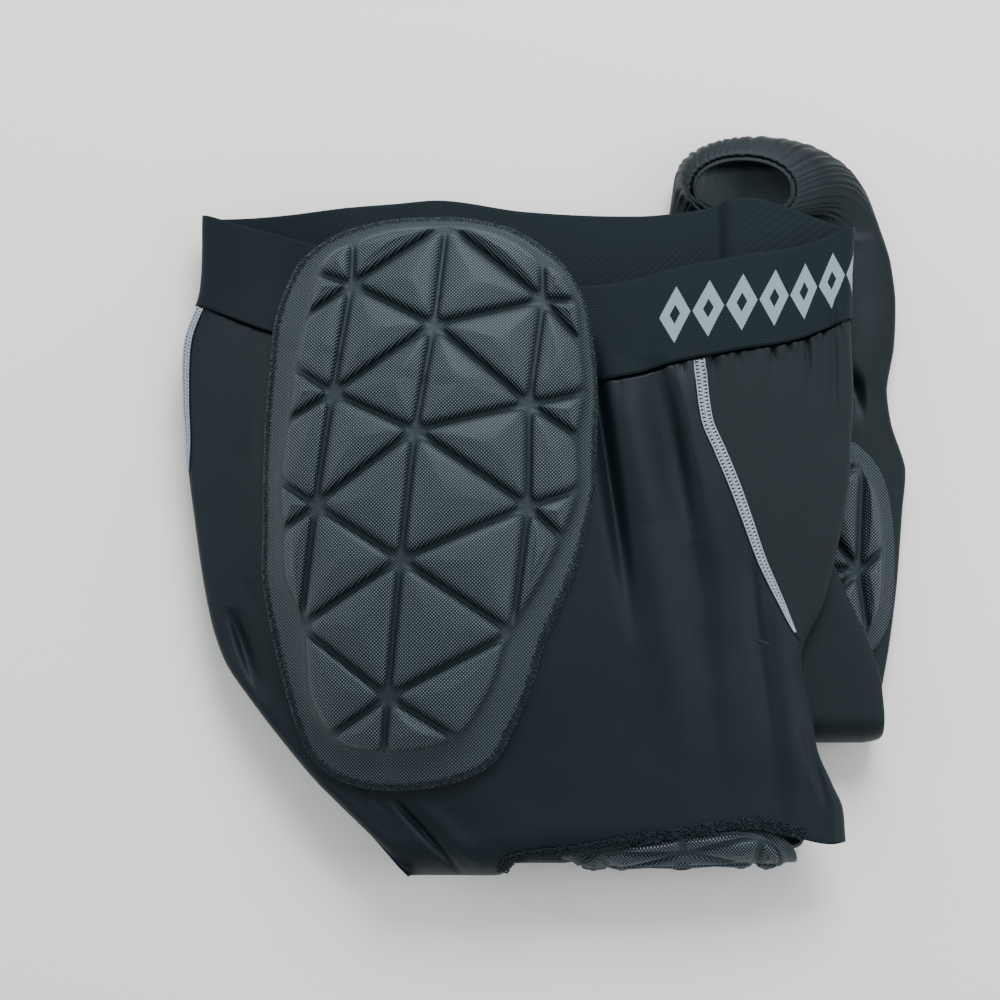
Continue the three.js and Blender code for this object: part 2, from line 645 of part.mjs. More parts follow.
// Sections of the far leg, from inside the body, round the knee fold and along to the gathered end.
function farLegSections() {
  const sections = [];
  const place = (share) => farFoldY + share * farLegReach;
  for (const row of farThighRows) {
    sections.push({
      innerY: place(row.along),
      outerY: place(row.along),
      innerZ: farThighFloor,
      outerZ: farThighTop,
      left: farLegX + row.left * legWidth,
      right: farLegX + row.right * legWidth,
      square: 0.55,
    });
  }
  const innerRadius = (farThighFloor - legHeight) / 2;
  const foldZ = legHeight + innerRadius;
  const foldY = farFoldY + innerRadius + (thighHeight + legHeight) / 2;
  for (const share of shares(foldSteps)) {
    const outerRadius = innerRadius + lerp(thighHeight, legHeight, share);
    const angle = Math.PI * share;
    sections.push({
      innerY: foldY - innerRadius * Math.sin(angle),
      innerZ: foldZ + innerRadius * Math.cos(angle),
      outerY: foldY - outerRadius * Math.sin(angle),
      outerZ: foldZ + outerRadius * Math.cos(angle),
      left: farLegX - 0.413 * legWidth,
      right: farLegX + lerp(0.362, 0.372, share) * legWidth,
      square: 0.55,
    });
  }
  for (const row of farLegRows) {
    sections.push({
      innerY: place(row.along),
      outerY: place(row.along),
      innerZ: legHeight,
      outerZ: 0,
      left: farLegX + row.left * legWidth,
      right: farLegX + row.right * legWidth,
      square: 0.55,
    });
  }
  for (const row of cuffRows) {
    sections.push({
      innerY: place(row.innerAlong),
      outerY: place(row.outerAlong),
      innerZ: row.innerUp * cuffHeight,
      outerZ: row.outerUp * cuffHeight,
      left: farLegX + row.left * legWidth,
      right: farLegX + row.right * legWidth,
      square: lerp(0.55, 0.95, row.round),
      ripple: row.ripple * gatherDepth,
    });
  }
  return sections;
}

function farCuffTape() {
  const mouth = farLegSections().slice(-2);
  const [below, rim] = mouth;
  const between = (share) => {
    const section = { square: 0.95, ripple: 0 };
    for (const key of ["innerY", "outerY", "innerZ", "outerZ", "left", "right"]) {
      section[key] = lerp(below[key], rim[key], share);
    }
    return section;
  };
  return tube([between(0.05), between(0.5), between(0.97)], 32, clothWall + gatherDepth + 0.5, 1);
}

function nearLegSections() {
  return nearLegRows.map((row) => ({
    innerY: waistY - row.innerDown * bodyLength,
    outerY: waistY - row.outerDown * bodyLength,
    innerZ: row.innerUp * nearLegHeight,
    outerZ: row.outerUp * nearLegHeight,
    left: bodyCentreX + (row.left * bodyWidth) / 2,
    right: bodyCentreX + (row.right * bodyWidth) / 2,
    square: 0.55,
  }));
}

// A moulded pad: facets with sloping sides stand between grooves on a thin sewn flange.
// Place turns shares across and along, and a height over the cloth, into a point.
function mouldedPad({ rim, stars, cells, place, tall, floor, sizeX, sizeY }) {
  const nodes = new Map();
  for (const star of stars) nodes.set(star.node, { ...star, onRim: -1 });
  rim.forEach((row, k) => nodes.set(row.node, { ...row, onRim: k }));
  const points = [];
  const put = (x, y, h) => points.push(place(x, y, h)) - 1;
  const corners = new Map();
  const cornerOf = (x, y, level) => {
    const key = [Math.round(x * 1e5), Math.round(y * 1e5), level].join(" ");
    if (!corners.has(key)) corners.set(key, put(x, y, level));
    return corners.get(key);
  };
  const faces = [];
  const ring = (lower, upper) => {
    for (let k = 0; k < lower.length; k++) {
      const next = (k + 1) % lower.length;
      faces.push([lower[k], lower[next], upper[next]], [lower[k], upper[next], upper[k]]);
    }
  };
  for (const cell of cells) {
    const outline = [];
    const names = cell.split(" ");
    names.forEach((name, k) => {
      const a = nodes.get(name);
      const b = nodes.get(names[(k + 1) % names.length]);
      const step = Math.abs(a.onRim - b.onRim);
      const rimEdge = a.onRim >= 0 && b.onRim >= 0 && (step === 1 || step === rim.length - 1);
      const length = Math.hypot((b.x - a.x) * sizeX, (b.y - a.y) * sizeY);
      const parts = rimEdge ? 1 : Math.max(1, Math.round(length / facetStep));
      for (let j = 0; j < parts; j++) {
        const onRim = j === 0 && a.onRim >= 0;
        const [p, q, t] = name < b.node ? [a, b, j / parts] : [b, a, 1 - j / parts];
        outline.push({ x: lerp(p.x, q.x, t), y: lerp(p.y, q.y, t), level: onRim ? padFlange : floor });
      }
    });
    let area = 0;
    let around = 0;
    const middle = { x: 0, y: 0 };
    outline.forEach((p, k) => {
      const q = outline[(k + 1) % outline.length];
      area += ((p.x * q.y - q.x * p.y) * sizeX * sizeY) / 2;
      around += Math.hypot((q.x - p.x) * sizeX, (q.y - p.y) * sizeY);
      const weight = Math.hypot((q.x - p.x) * sizeX, (q.y - p.y) * sizeY);
      middle.x += ((p.x + q.x) / 2) * weight;
      middle.y += ((p.y + q.y) / 2) * weight;
    });
    middle.x /= around;
    middle.y /= around;
    if (area < 0) outline.reverse();
    const inset = Math.min(facetBevel / ((2 * Math.abs(area)) / around), 0.5);
    const low = outline.map((p) => cornerOf(p.x, p.y, p.level));
    const high = outline.map((p) => put(lerp(p.x, middle.x, inset), lerp(p.y, middle.y, inset), tall));
    const base = outline.map((p) => cornerOf(p.x, p.y, 0));
    const peak = put(middle.x, middle.y, tall + facetCrown);
    const root = put(middle.x, middle.y, 0);
    ring(low, high);
    for (let k = 0; k < outline.length; k++) {
      const next = (k + 1) % outline.length;
      faces.push([high[k], high[next], peak], [base[next], base[k], root]);
    }
  }
  const rimTop = rim.map((row) => cornerOf(row.x, row.y, padFlange));
  const rimBase = rim.map((row) => cornerOf(row.x, row.y, 0));
  const edgeTop = rim.map((row) => put(row.edgeX, row.edgeY, padFlange - flangeThinning));
  const edgeBase = rim.map((row) => put(row.edgeX, row.edgeY, 0));
  ring(rimTop, edgeTop);
  ring(edgeTop, edgeBase);
  ring(edgeBase, rimBase);
  return meshOf(points, faces);
}

// How far the hip pad stands off the cloth. It rises where it passes over the waistband.
function padStand(x, y, seat, waistCurve) {
  const { middle, half } = bodySides(downAt(y));
  const across = THREE.MathUtils.clamp((x - middle) / half, -1, 1);
  const bandEdge = waistY - read(waistCurve, "across", "down", across) * bodyLength - bandHeight;
  return lerp(seat, seat + elasticWall - clothWall, smooth((y - bandEdge + standStart) / standRun));
}

function hipPadNear() {
  return mouldedPad({
    rim: hipRim,
    stars: hipStars,
    cells: hipCells,
    tall: padHeight,
    floor: padFloor,
    sizeX: padWidth / 2,
    sizeY: padLength / 2,
    place: (sx, sy, h) => {
      const x = padCentreX + (sx * padWidth) / 2;
      const y = padCentreY + (sy * padLength) / 2;
      return new THREE.Vector3(x, y, bodyTop(x, y) + padStand(x, y, padSeat, nearWaist) + h);
    },
  });
}

function hipPadFar() {
  return mouldedPad({
    rim: hipRim,
    stars: hipStars,
    cells: hipCells,
    tall: padHeight,
    floor: padFloor,
    sizeX: padWidth / 2,
    sizeY: padLength / 2,
    place: (sx, sy, h) => {
      const x = padCentreX + (sx * padWidth) / 2;
      const y = padCentreY + (sy * padLength) / 2;
      return new THREE.Vector3(x, y, bodyUnderside(x, y) - padStand(x, y, farPadSeat, farWaist) - h);
    },
  });
}

// Rim of a rounded pad, running clockwise like the other one, and the facets between its rim and its four stars.
function roundRim() {
  return shares(16)
    .slice(0, -1)
    .map((turn, k) => {
      const x = Math.sign(Math.cos(2 * Math.PI * turn)) * Math.abs(Math.cos(2 * Math.PI * turn)) ** 0.7;
      const y = Math.sign(Math.sin(2 * Math.PI * turn)) * Math.abs(Math.sin(2 * Math.PI * turn)) ** 0.7;
      return { node: "R" + String(k).padStart(2, "0"), x: 0.87 * x, y: 0.89 * y, edgeX: x, edgeY: y };
    })
    .reverse();
}

function kneePadFar() {
  return mouldedPad({
    rim: roundRim(),
    stars: kneeStars,
    cells: kneeCells,
    tall: kneePadHeight,
    floor: kneePadFloor,
    sizeX: kneePadWidth / 2,
    sizeY: kneePadLength / 2,
    place: (sx, sy, h) =>
      new THREE.Vector3(kneePadX + (sx * kneePadWidth) / 2, kneePadY + (sy * kneePadLength) / 2, kneePadBase + h),
  });
}

// The near knee pad comes out from under the hem and bends round the fold at the knee.
function kneePadNear() {
  return mouldedPad({
    rim: roundRim(),
    stars: kneeStars,
    cells: kneeCells,
    tall: nearKneeHeight,
    floor: kneePadFloor,
    sizeX: nearKneeWidth / 2,
    sizeY: (curlRadius * nearKneeEnd) / 2,
    place: (sx, sy, h) => {
      const x = nearKneeX + (sx * nearKneeWidth) / 2;
      const { middle, half } = bodySides(0.93);
      const across = (x - middle) / half;
      const turn = Math.acos(across) / (2 * Math.PI);
      const start = read(kneeFold, "across", "down", across);
      const hem = ((hemDown(turn) - start) * bodyLength - hemOverlap) / curlRadius;
      const angle = lerp(nearKneeEnd, hem, (sy + 1) / 2);
      const centre = waistY - start * bodyLength;
      const top = bodyPoint(turn, start).z;
      const radius = curlRadius - clothWall - padFlange - kneePadStandoff + h;
      return new THREE.Vector3(
        x,
        centre - radius * Math.sin(angle),
        top - curlDrop + (radius * Math.cos(angle) * curlDrop) / curlRadius,
      );
    },
  });
}

// The overlocked seam that closes the hem over the knee pad.
function hemSeam() {
  return bodyPanel({
    from: () => 0.096,
    to: () => 0.33,
    columns: shares(16),
    rows: [0, 1],
    start: (turn) => hemDown(turn) - hemSeamWidth / bodyLength,
    end: (turn) => hemDown(turn) - 0.2 / bodyLength,
    lift: seamLift,
    wall: seamThickness,
    closed: false,
  });
}

// One solid less another one, as a single closed body.
function solidOf(geometry) {
  return new Manifold(
    new Solid({
      numProp: 3,
      vertProperties: Float32Array.from(geometry.attributes.position.array),
      triVerts: Uint32Array.from(geometry.index.array),
    }),
  );
}

function cutAway(geometry, cutter) {
  const parts = solidOf(geometry).subtract(solidOf(cutter)).decompose();
  const largest = parts.reduce((best, part) => (part.volume() > best.volume() ? part : best));
  const mesh = largest.getMesh();
  const cut = new THREE.BufferGeometry();
  cut.setAttribute("position", new THREE.BufferAttribute(Float32Array.from(mesh.vertProperties), 3));
  cut.setIndex(Array.from(mesh.triVerts));
  cut.computeVertexNormals();
  return cut;
}

const group = new THREE.Group();
const paint = {
  knit: new THREE.MeshStandardMaterial({ color: 0x1c2328, roughness: 0.85 }),
  perforated: new THREE.MeshStandardMaterial({ color: 0x20272c, roughness: 0.9 }),
  elastic: new THREE.MeshStandardMaterial({ color: 0x1f2629, roughness: 0.8 }),
  thread: new THREE.MeshStandardMaterial({ color: 0x9aa4aa, roughness: 0.7 }),
  foam: new THREE.MeshStandardMaterial({ color: 0x39434a, roughness: 0.8 }),
};

function add(name, geometry, material) {
  const mesh = new THREE.Mesh(geometry, material);
  mesh.name = name;
  group.add(mesh);
}

add("waistband", waistband(), paint.elastic);
const frontTipCutter = frontPanel(0.53, tipClearance);
add("near_side_panel", cutAway(nearPanel(), frontTipCutter), paint.knit);
add("far_side_panel", cutAway(farPanel(), frontTipCutter), paint.knit);
add("front_panel", frontPanel(0, 0), paint.perforated);
add("front_seam", seamStrip(frontSeamTurn, 0, 0.65, 0.7), paint.thread);
add("back_seam", seamStrip(backSeamTurn, 0, backTip, 0), paint.thread);
add("hem_seam", hemSeam(), paint.thread);
add("hip_pad_near", hipPadNear(), paint.foam);
add("hip_pad_far", hipPadFar(), paint.foam);
add("far_leg", tube(farLegSections(), 40, 0, clothWall), paint.knit);
add("far_cuff_tape", farCuffTape(), paint.elastic);
add("knee_pad_far", kneePadFar(), paint.foam);
add("near_leg", tube(nearLegSections(), 20, 0, clothWall), paint.knit);
add("knee_pad_near", kneePadNear(), paint.foam);

// The origin goes to the middle of the resting side.
const box = new THREE.Box3().setFromObject(group);
const shift = new THREE.Vector3((box.min.x + box.max.x) / 2, (box.min.y + box.max.y) / 2, box.min.z);
for (const mesh of group.children) mesh.geometry.translate(-shift.x, -shift.y, -shift.z);

export default group;
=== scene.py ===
import math

import bmesh
import bpy
import numpy as np
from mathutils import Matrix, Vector


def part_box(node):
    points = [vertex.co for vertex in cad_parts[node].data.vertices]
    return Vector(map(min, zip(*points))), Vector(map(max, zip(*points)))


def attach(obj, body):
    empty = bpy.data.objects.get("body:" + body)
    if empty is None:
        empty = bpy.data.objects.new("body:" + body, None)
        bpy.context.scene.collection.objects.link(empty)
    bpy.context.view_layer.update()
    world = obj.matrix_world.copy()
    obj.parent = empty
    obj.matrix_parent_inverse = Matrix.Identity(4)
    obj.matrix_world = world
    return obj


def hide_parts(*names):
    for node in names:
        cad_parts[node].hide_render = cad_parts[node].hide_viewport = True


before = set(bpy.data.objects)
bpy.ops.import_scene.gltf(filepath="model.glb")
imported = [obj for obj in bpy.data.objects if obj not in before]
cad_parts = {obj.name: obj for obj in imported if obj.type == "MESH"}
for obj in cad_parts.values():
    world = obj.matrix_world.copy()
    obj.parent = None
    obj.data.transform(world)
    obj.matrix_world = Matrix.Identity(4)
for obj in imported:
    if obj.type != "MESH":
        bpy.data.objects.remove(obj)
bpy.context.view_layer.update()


# The garment lies on a pale floor under soft studio light, seen from almost straight above.
# The floor is a wide matt sheet, and the camera looks down at 80 degrees over the near edge.
# The shapes are drawn in millimetres, and the far knee pad's middle ties them to the frame.
far_knee_middle = np.array([110.02, -20.008])
frame_shift = far_knee_middle / 1000 - np.array(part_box("knee_pad_far"), float).mean(axis=0)[:2]


def linear(hex_colour, alpha=1.0):
    channels = [int(hex_colour[k : k + 2], 16) / 255 for k in (1, 3, 5)]
    return [c / 12.92 if c <= 0.04045 else ((c + 0.055) / 1.055) ** 2.4 for c in channels] + [alpha]


# Each input is a constant, a socket, or a node, which is linked by its first output.
def fill(tree, node, inputs):
    for socket, value in inputs.items():
        source = value.outputs[0] if isinstance(value, bpy.types.Node) else value
        if isinstance(source, bpy.types.NodeSocket):
            tree.links.new(source, node.inputs[socket])
        else:
            node.inputs[socket].default_value = source
    return node


def add_node(tree, kind, inputs, **settings):
    made = tree.nodes.new(kind)
    for name, value in settings.items():
        setattr(made, name, value)
    return fill(tree, made, inputs)


def new_material(name):
    material = bpy.data.materials.new(name)
    material.use_nodes = True
    tree = material.node_tree
    return material, tree, tree.nodes["Principled BSDF"]


floor_material, floor_tree, floor_shader = new_material("pale_matt_floor")
fill(floor_tree, floor_shader, {"Base Color": linear("#f2f2f0"), "Roughness": 0.9})
bpy.ops.mesh.primitive_plane_add(size=6.0, location=(0, 0, -0.0006))
floor = bpy.context.object
floor.name = "floor"
floor.data.materials.append(floor_material)

camera_elevation = math.radians(80)
camera_distance = 0.84541
target = Vector((-0.020 - frame_shift[0], -frame_shift[1], 0.030))
back = Vector((0.0, -math.cos(camera_elevation), math.sin(camera_elevation)))
camera_data = bpy.data.cameras.new("camera")
camera_data.lens = 70
camera_data.sensor_width = 36
camera = bpy.data.objects.new("camera", camera_data)
bpy.context.scene.collection.objects.link(camera)
camera.location = target + back * camera_distance
camera.rotation_euler = back.to_track_quat("Z", "Y").to_euler()
bpy.context.scene.camera = camera

lamps = {
    "soft_top": {"place": (0.2, 0.95, 0.95), "size": 0.7, "power": 22},
    "soft_left": {"place": (-1.1, 0.35, 0.8), "size": 0.7, "power": 5},
    "soft_right": {"place": (1.1, -0.2, 0.9), "size": 0.7, "power": 7},
}
for name, lamp in lamps.items():
    lamp_data = bpy.data.lights.new(name, "AREA")
    lamp_data.energy = lamp["power"]
    lamp_data.size = lamp["size"]
    lamp_object = bpy.data.objects.new(name, lamp_data)
    bpy.context.scene.collection.objects.link(lamp_object)
    lamp_object.location = lamp["place"]
    lamp_object.rotation_euler = Vector(lamp["place"]).to_track_quat("Z", "Y").to_euler()
world = bpy.data.worlds.new("studio")
bpy.context.scene.world = world
world.use_nodes = True
world.node_tree.nodes["Background"].inputs["Color"].default_value = linear("#eef1f4")
world.node_tree.nodes["Background"].inputs["Strength"].default_value = 0.75


# Side panels of the body: one piece of smooth interlock knit on each side, cut and sewn, a little
# over a millimetre thick. It gives a dark, even surface with a soft sheen on its folds.
wall = 1.2
elastic_wall = 2.0
band_height = 42
sewing_gap = 0.5
band_gap = 1.0
body_width = 297
body_length = 294
waist_y = 133
body_x = -11
waist_loft = 18
edge_loft = 7
edge_slope = 50
droop_reach = 70
curl_radius = 17
body_floor = 28.6
pad_half_x = 72
pad_half_y = 125
pad_x = body_x - 0.263 * body_width / 2
pad_y = waist_y - 0.459 * body_length
pad_rise = 14
seat_half_x = 76
seat_half_y = 128

# The outline: shares of the body's length down, and of its half width to the left and the right.
outline_down = [
    -0.1, 0.0, 0.12, 0.2, 0.29, 0.37, 0.44, 0.6, 0.685, 0.75, 0.82, 0.87, 0.9, 0.94, 0.975, 1.02, 1.1,
]
outline_left = [
    -0.965, -0.965, -0.968, -1.016, -1.014, -0.998, -0.98, -0.924, -0.868, -0.777, -0.665, -0.577, -0.512,
    -0.43, -0.359, -0.28, -0.25,
]
outline_right = [
    1.0, 1.0, 0.982, 0.978, 0.98, 0.968, 0.956, 0.879, 0.805, 0.828, 0.845, 0.888, 0.915, 0.922, 0.925,
    0.928, 0.93,
]
# The height of the edges above the floor, then the waist's line on each side, the fold at the knee
# with its roll, and the two seams. Each is a table of places and of the values there.
edge_down = [0.0, 0.35, 0.65, 0.76, 0.83, 0.92, 1.1]
edge_left = [0.4, 0.35, 0.42, 0.62, 0.72, 0.85, 0.9]
edge_right = [1.0, 1.0, 1.0, 1.0, 1.0, 0.85, 0.8]
near_waist = [
    [-1.0, -0.88, -0.65, -0.22, 0.17, 0.34, 0.45, 0.63, 0.82, 1.0],
    [0.0, 0.024, 0.075, 0.142, 0.144, 0.133, 0.116, 0.098, 0.078, 0.037],
]
far_waist = [
    [-1.0, -0.69, -0.42, -0.25, 0.0, 0.34, 0.53, 0.67, 0.8, 1.0],
    [0.0, 0.005, -0.004, -0.01, 0.008, 0.015, 0.005, -0.012, 0.003, 0.037],
]
knee_across = [-1.0, -0.97, -0.85, -0.6, -0.5, -0.21, 0.22, 0.6, 0.72, 0.85, 0.93, 1.0]
knee_down = [0.94, 0.94, 0.94, 0.94, 0.937, 0.928, 0.925, 0.923, 0.927, 0.937, 0.945, 0.95]
knee_roll = [0.7, 0.9, 1.0, 0.75, 0.45, 0.4, 0.22, 0.08, 0.1, 0.12, 0.08, 0.0]
loft_share = [[0.0, 0.3, 0.6, 0.9, 1.1], [1.0, 0.92, 0.75, 0.5, 0.5]]
front_seam = [
    [0.0, 0.25, 0.343, 0.388, 0.44, 0.49, 0.55, 0.6, 0.65, 0.664, 0.678, 1.1],
    [0.5, 0.519, 0.536, 0.572, 0.613, 0.648, 0.69, 0.736, 0.781, 0.8, 0.87, 1.2],
]
back_seam = [[0.0, 0.12, 0.3, 0.36, 0.43, 0.6, 1.1], [0.462, 0.466, 0.4725, 0.476, 0.495, 0.53, 0.53]]


def read(keys, values, at):
    keys = np.asarray(keys, float)
    values = np.asarray(values, float)
    at = np.clip(at, keys[0], keys[-1])
    k = np.clip(np.searchsorted(keys, at, side="right") - 1, 0, len(keys) - 2)
    slopes = np.empty(len(keys))
    slopes[1:-1] = (values[2:] - values[:-2]) / (keys[2:] - keys[:-2])
    slopes[0] = (values[1] - values[0]) / (keys[1] - keys[0])
    slopes[-1] = (values[-1] - values[-2]) / (keys[-1] - keys[-2])
    span = keys[k + 1] - keys[k]
    t = (at - keys[k]) / span
    start = values[k] * (2 * t**3 - 3 * t**2 + 1) + slopes[k] * span * (t**3 - 2 * t**2 + t)
    return start + values[k + 1] * (3 * t**2 - 2 * t**3) + slopes[k + 1] * span * (t**3 - t**2)


def smooth(t):
    t = np.clip(t, 0, 1)
    return t * t * (3 - 2 * t)


def mix(a, b, t):
    return a + (b - a) * t


def body_sides(down):
    left = body_x + read(outline_down, outline_left, down) * body_width / 2
    right = body_x + read(outline_down, outline_right, down) * body_width / 2
    return left, right


def underside(x, y):
    down = (waist_y - y) / body_length
    left, right = body_sides(down)
    left_drop = 1 - read(edge_down, edge_left, down)
    right_drop = 1 - read(edge_down, edge_right, down)
    drop = left_drop * (1 - smooth((x - left) / droop_reach))
    drop = drop + right_drop * (1 - smooth((right - x) / droop_reach))
    return body_floor * (1 - drop)


def thickness(x, y):
    down = (waist_y - y) / body_length
    left, right = body_sides(down)
    inside = np.minimum(x - left, right - x)
    loft = waist_loft * read(*loft_share, down)
    return 2 * wall + mix(np.minimum(edge_loft, loft), loft, smooth(inside / edge_slope))


def mound(x, y):
    across = (x - pad_x) / (0.6 * 2 * pad_half_x)
    along = (y - pad_y) / (0.58 * 2 * pad_half_y)
    return pad_rise * np.clip(1 - across**2 - along**2, 0, 1) ** 2


# Folds in the near side: start across and lean, as shares of the half width, the stretch down that
# each one runs, its height, and its half widths to the left and the right in millimetres.
folds = [
    (0.198, 0.13, 0.22, 0.68, -7.5, 3.4, 3.2),
    (0.29, 0.14, 0.25, 0.72, 2.0, 7.0, 8.0),
    (0.4, 0.13, 0.25, 0.64, -4.2, 8.5, 3.2),
    (0.455, 0.13, 0.26, 0.62, 2.2, 3.6, 7.0),
]
creases = [
    (0.5, 0.07, 0.52, 0.93, -1.8, 9.0, 5.0),
    (0.36, 0.1, 0.5, 0.9, 1.2, 7.0, 9.0),
    (0.66, 0.06, 0.54, 0.86, -1.3, 4.0, 1.6),
    (0.735, 0.05, 0.6, 0.97, 1.9, 5.0, 6.0),
    (-0.45, 0.4, 0.84, 1.06, -3.4, 2.4, 1.7),
    (-0.39, 0.4, 0.84, 1.06, 1.5, 3.0, 7.0),
    (-0.5, 0.14, 0.84, 0.92, -1.3, 2.5, 1.6),
    (-0.85, 0.1, 0.61, 0.75, -3.6, 2.4, 3.6),
    (-0.8, 0.12, 0.57, 0.7, -1.2, 2.5, 3.5),
    (0.8, 0.08, 0.78, 0.92, -1.8, 2.4, 2.4),
    (0.925, -0.01, 0.13, 0.42, -1.4, 3.0, 1.6),
    (-0.78, -0.02, 0.1, 0.6, -1.2, 7.0, 5.0),
]


def fold_relief(x, y, rows):
    down = (waist_y - y) / body_length
    relief = np.zeros_like(x)
    for start, lean, top, end, height, left, right in rows:
        along = np.clip((down - top) / (end - top), 0, 1)
        centre = body_x + (start + lean * along) * body_width / 2
        bell = np.exp(-(((x - centre) / np.where(x < centre, left, right)) ** 2))
        relief = relief + height * bell * np.sin(math.pi * along**0.65) ** 1.3
    return relief


# The elastic draws the cloth in, so short puckers hang under the band, most of them at the front.
# The deepest ones have a place across, a depth and a reach down each, in millimetres.
deep_tucks = [
    (50, 1.0, 4), (58, 1.1, 4), (72.2, 1.9, 6), (78, 1.2, 4), (83.5, 2.1, 6), (91.7, 1.5, 5), (98.3, 2.1, 7),
    (105, 1.1, 4), (113.9, 2.2, 18), (121, 0.9, 4),
]
tuck_spread = 1.15


def puckers(x, below):
    gathered = np.zeros_like(x)
    for length, shift, reach in ((8.3, 0.4, 7.0), (5.7, 2.1, 5.0), (13.1, 1.2, 12.0), (3.9, 4.4, 3.5)):
        gathered = gathered + np.sin(x * 2 * math.pi / length + shift) * np.exp(-((below / reach) ** 2))
    share = 0.3 + 0.7 * smooth((x - 48) / 14)
    gathered = 0.5 * gathered * share
    for middle, depth, reach in deep_tucks:
        tuck = depth * np.exp(-(((x - middle) / tuck_spread) ** 2)) * np.exp(-((below / reach) ** 2))
        gathered = gathered - tuck
    return gathered * (below >= 0)


def ripples(x, y, seed, pitch):
    chance = np.random.default_rng(seed)
    total = np.zeros_like(x)
    for _ in range(9):
        turn = chance.uniform(0, math.pi)
        length = pitch * chance.uniform(0.6, 1.7)
        wave = (x * math.cos(turn) + y * math.sin(turn)) * 2 * math.pi / length
        total = total + np.sin(wave + chance.uniform(0, 6))
    return total / 9


# A point of the cloth. It turns from the front edge, over the near side to the back edge at a half,
# and back along the far side. Down is a share of the body's length, from the waist.
def body_point(turn, down, fine=1.0):
    across = np.cos(2 * math.pi * turn)
    near = (np.mod(turn, 1) < 0.5) & (turn > 0)
    start = read(knee_across, knee_down, across)
    flat_down = np.minimum(down, start)
    rolled = np.where(near, np.minimum(body_length * (down - flat_down) / curl_radius, math.pi / 2), 0)
    left, right = body_sides(flat_down + curl_radius * np.sin(rolled) / body_length)
    middle = (left + right) / 2
    half = (right - left) / 2
    x = middle + half * across
    y = waist_y - body_length * flat_down
    thick = thickness(x, y)
    inside = np.minimum(half * (1 - np.abs(across)) / (0.7 * thick), 1)
    rounding = np.sqrt(np.maximum(1 - (1 - inside) ** 2, 0))
    middle_z = underside(x, y) + thick / 2
    relief = mound(x, y) + fold_relief(x, y, folds)
    soft = fold_relief(x, y - curl_radius * np.sin(rolled), creases)
    soft = soft + 0.55 * ripples(x, y, 4, 46) + 0.2 * ripples(x, y, 9, 17)
    away = smooth((np.hypot((x - pad_x) / seat_half_x, (y - pad_y) / seat_half_y) - 0.96) / 0.1)
    relief = relief + fine * soft * away + fine * puckers(x, (down - cloth_start(turn)) * body_length)
    top = middle_z + rounding * (thick / 2 + relief)
    angle = body_length * (down - flat_down) / curl_radius
    dropped = curl_radius * (1 - np.cos(angle)) * rounding
    near_point = np.stack([x, y - curl_radius * np.sin(angle), top - dropped], -1)
    bottom = middle_z - rounding * thick / 2
    # The far side is tucked in at the front of the waist, beside the folded leg.
    tucked = 3.4 * smooth((x - 78) / 4) * (1 - smooth((x - 90) / 36)) * (1 - smooth((down - 0.1) / 0.1))
    bottom = bottom + fine * rounding * tucked
    far_point = np.stack([x, y - body_length * (down - flat_down), bottom], -1)
    return np.where(near[..., None], near_point, far_point)


def body_outward(turn, down):
    step = 2e-4
    along_turn = body_point(turn + step, down) - body_point(turn - step, down)
    along_down = body_point(turn, down + step) - body_point(turn, down - step)
    normal = np.cross(along_turn, along_down)
    return normal / np.maximum(np.linalg.norm(normal, axis=-1, keepdims=True), 1e-9)


def turn_step(turn, down, distance):
    length = np.linalg.norm(body_point(turn + 1e-3, down, 0) - body_point(turn - 1e-3, down, 0), axis=-1)
    return distance * 2e-3 / length


def waist_down(turn):
    across = np.cos(2 * math.pi * turn)
    return np.where(np.mod(turn, 1) < 0.5, read(*near_waist, across), read(*far_waist, across))


def cloth_start(turn):
    across = np.cos(2 * math.pi * turn)
    gap = mix(0.2, band_gap, smooth((across + 0.97) / 0.15))
    return waist_down(turn) + (band_height + gap) / body_length


def hem_down(turn):
    across = np.cos(2 * math.pi * turn)
    roll = np.maximum(read(knee_across, knee_roll, across), 0) * 0.62 * math.pi * curl_radius / body_length
    return read(knee_across, knee_down, across) + np.where(np.mod(turn, 1) < 0.5, roll, 0)


def front_turn(down):
    left, right = body_sides(down)
    x = body_x + read(*front_seam, down) * body_width / 2
    limit = mix(0.9978, 0.9996, smooth((down - 0.68) / 0.02))
    return np.arccos(np.minimum((x - (left + right) / 2) / ((right - left) / 2), limit)) / (2 * math.pi)


def back_turn(down):
    return read(*back_seam, down)


def beside(seam, down, side):
    turn = seam(down)
    return turn + side * turn_step(turn, down, sewing_gap / 2)


# A panel is a grid between two seams and two ends. The seams' bends die out across the panel.
def panel_grid(sides, ends, columns, rows, lift, wall_here):
    edges = []
    for k in (0, 1):
        down = np.full(len(columns), 0.2 + 0.7 * k)
        for _ in range(160):
            down = mix(down, ends(mix(*sides(down), columns))[k], 0.12)
        edges.append(down)
    down = mix(edges[0][None, :], edges[1][None, :], rows[:, None])
    first, last = sides(down)
    nearby = [sides(down + shift) for shift in np.linspace(-0.25, 0.25, 11)]
    steady_first, steady_last = (sum(pair[k] for pair in nearby) / 11 for k in (0, 1))
    share = columns[None, :]
    turn = mix(steady_first, steady_last, share)
    turn = turn + (first - steady_first) * (1 - share) ** 7 + (last - steady_last) * share**7
    point = body_point(turn, down)
    normal = body_outward(turn, down)
    return point + normal * (lift + wall_here), point + normal * lift


def in_frame(points):
    moved = np.asarray(points, float) / 1000
    moved[..., 0] -= frame_shift[0]
    moved[..., 1] -= frame_shift[1]
    return moved


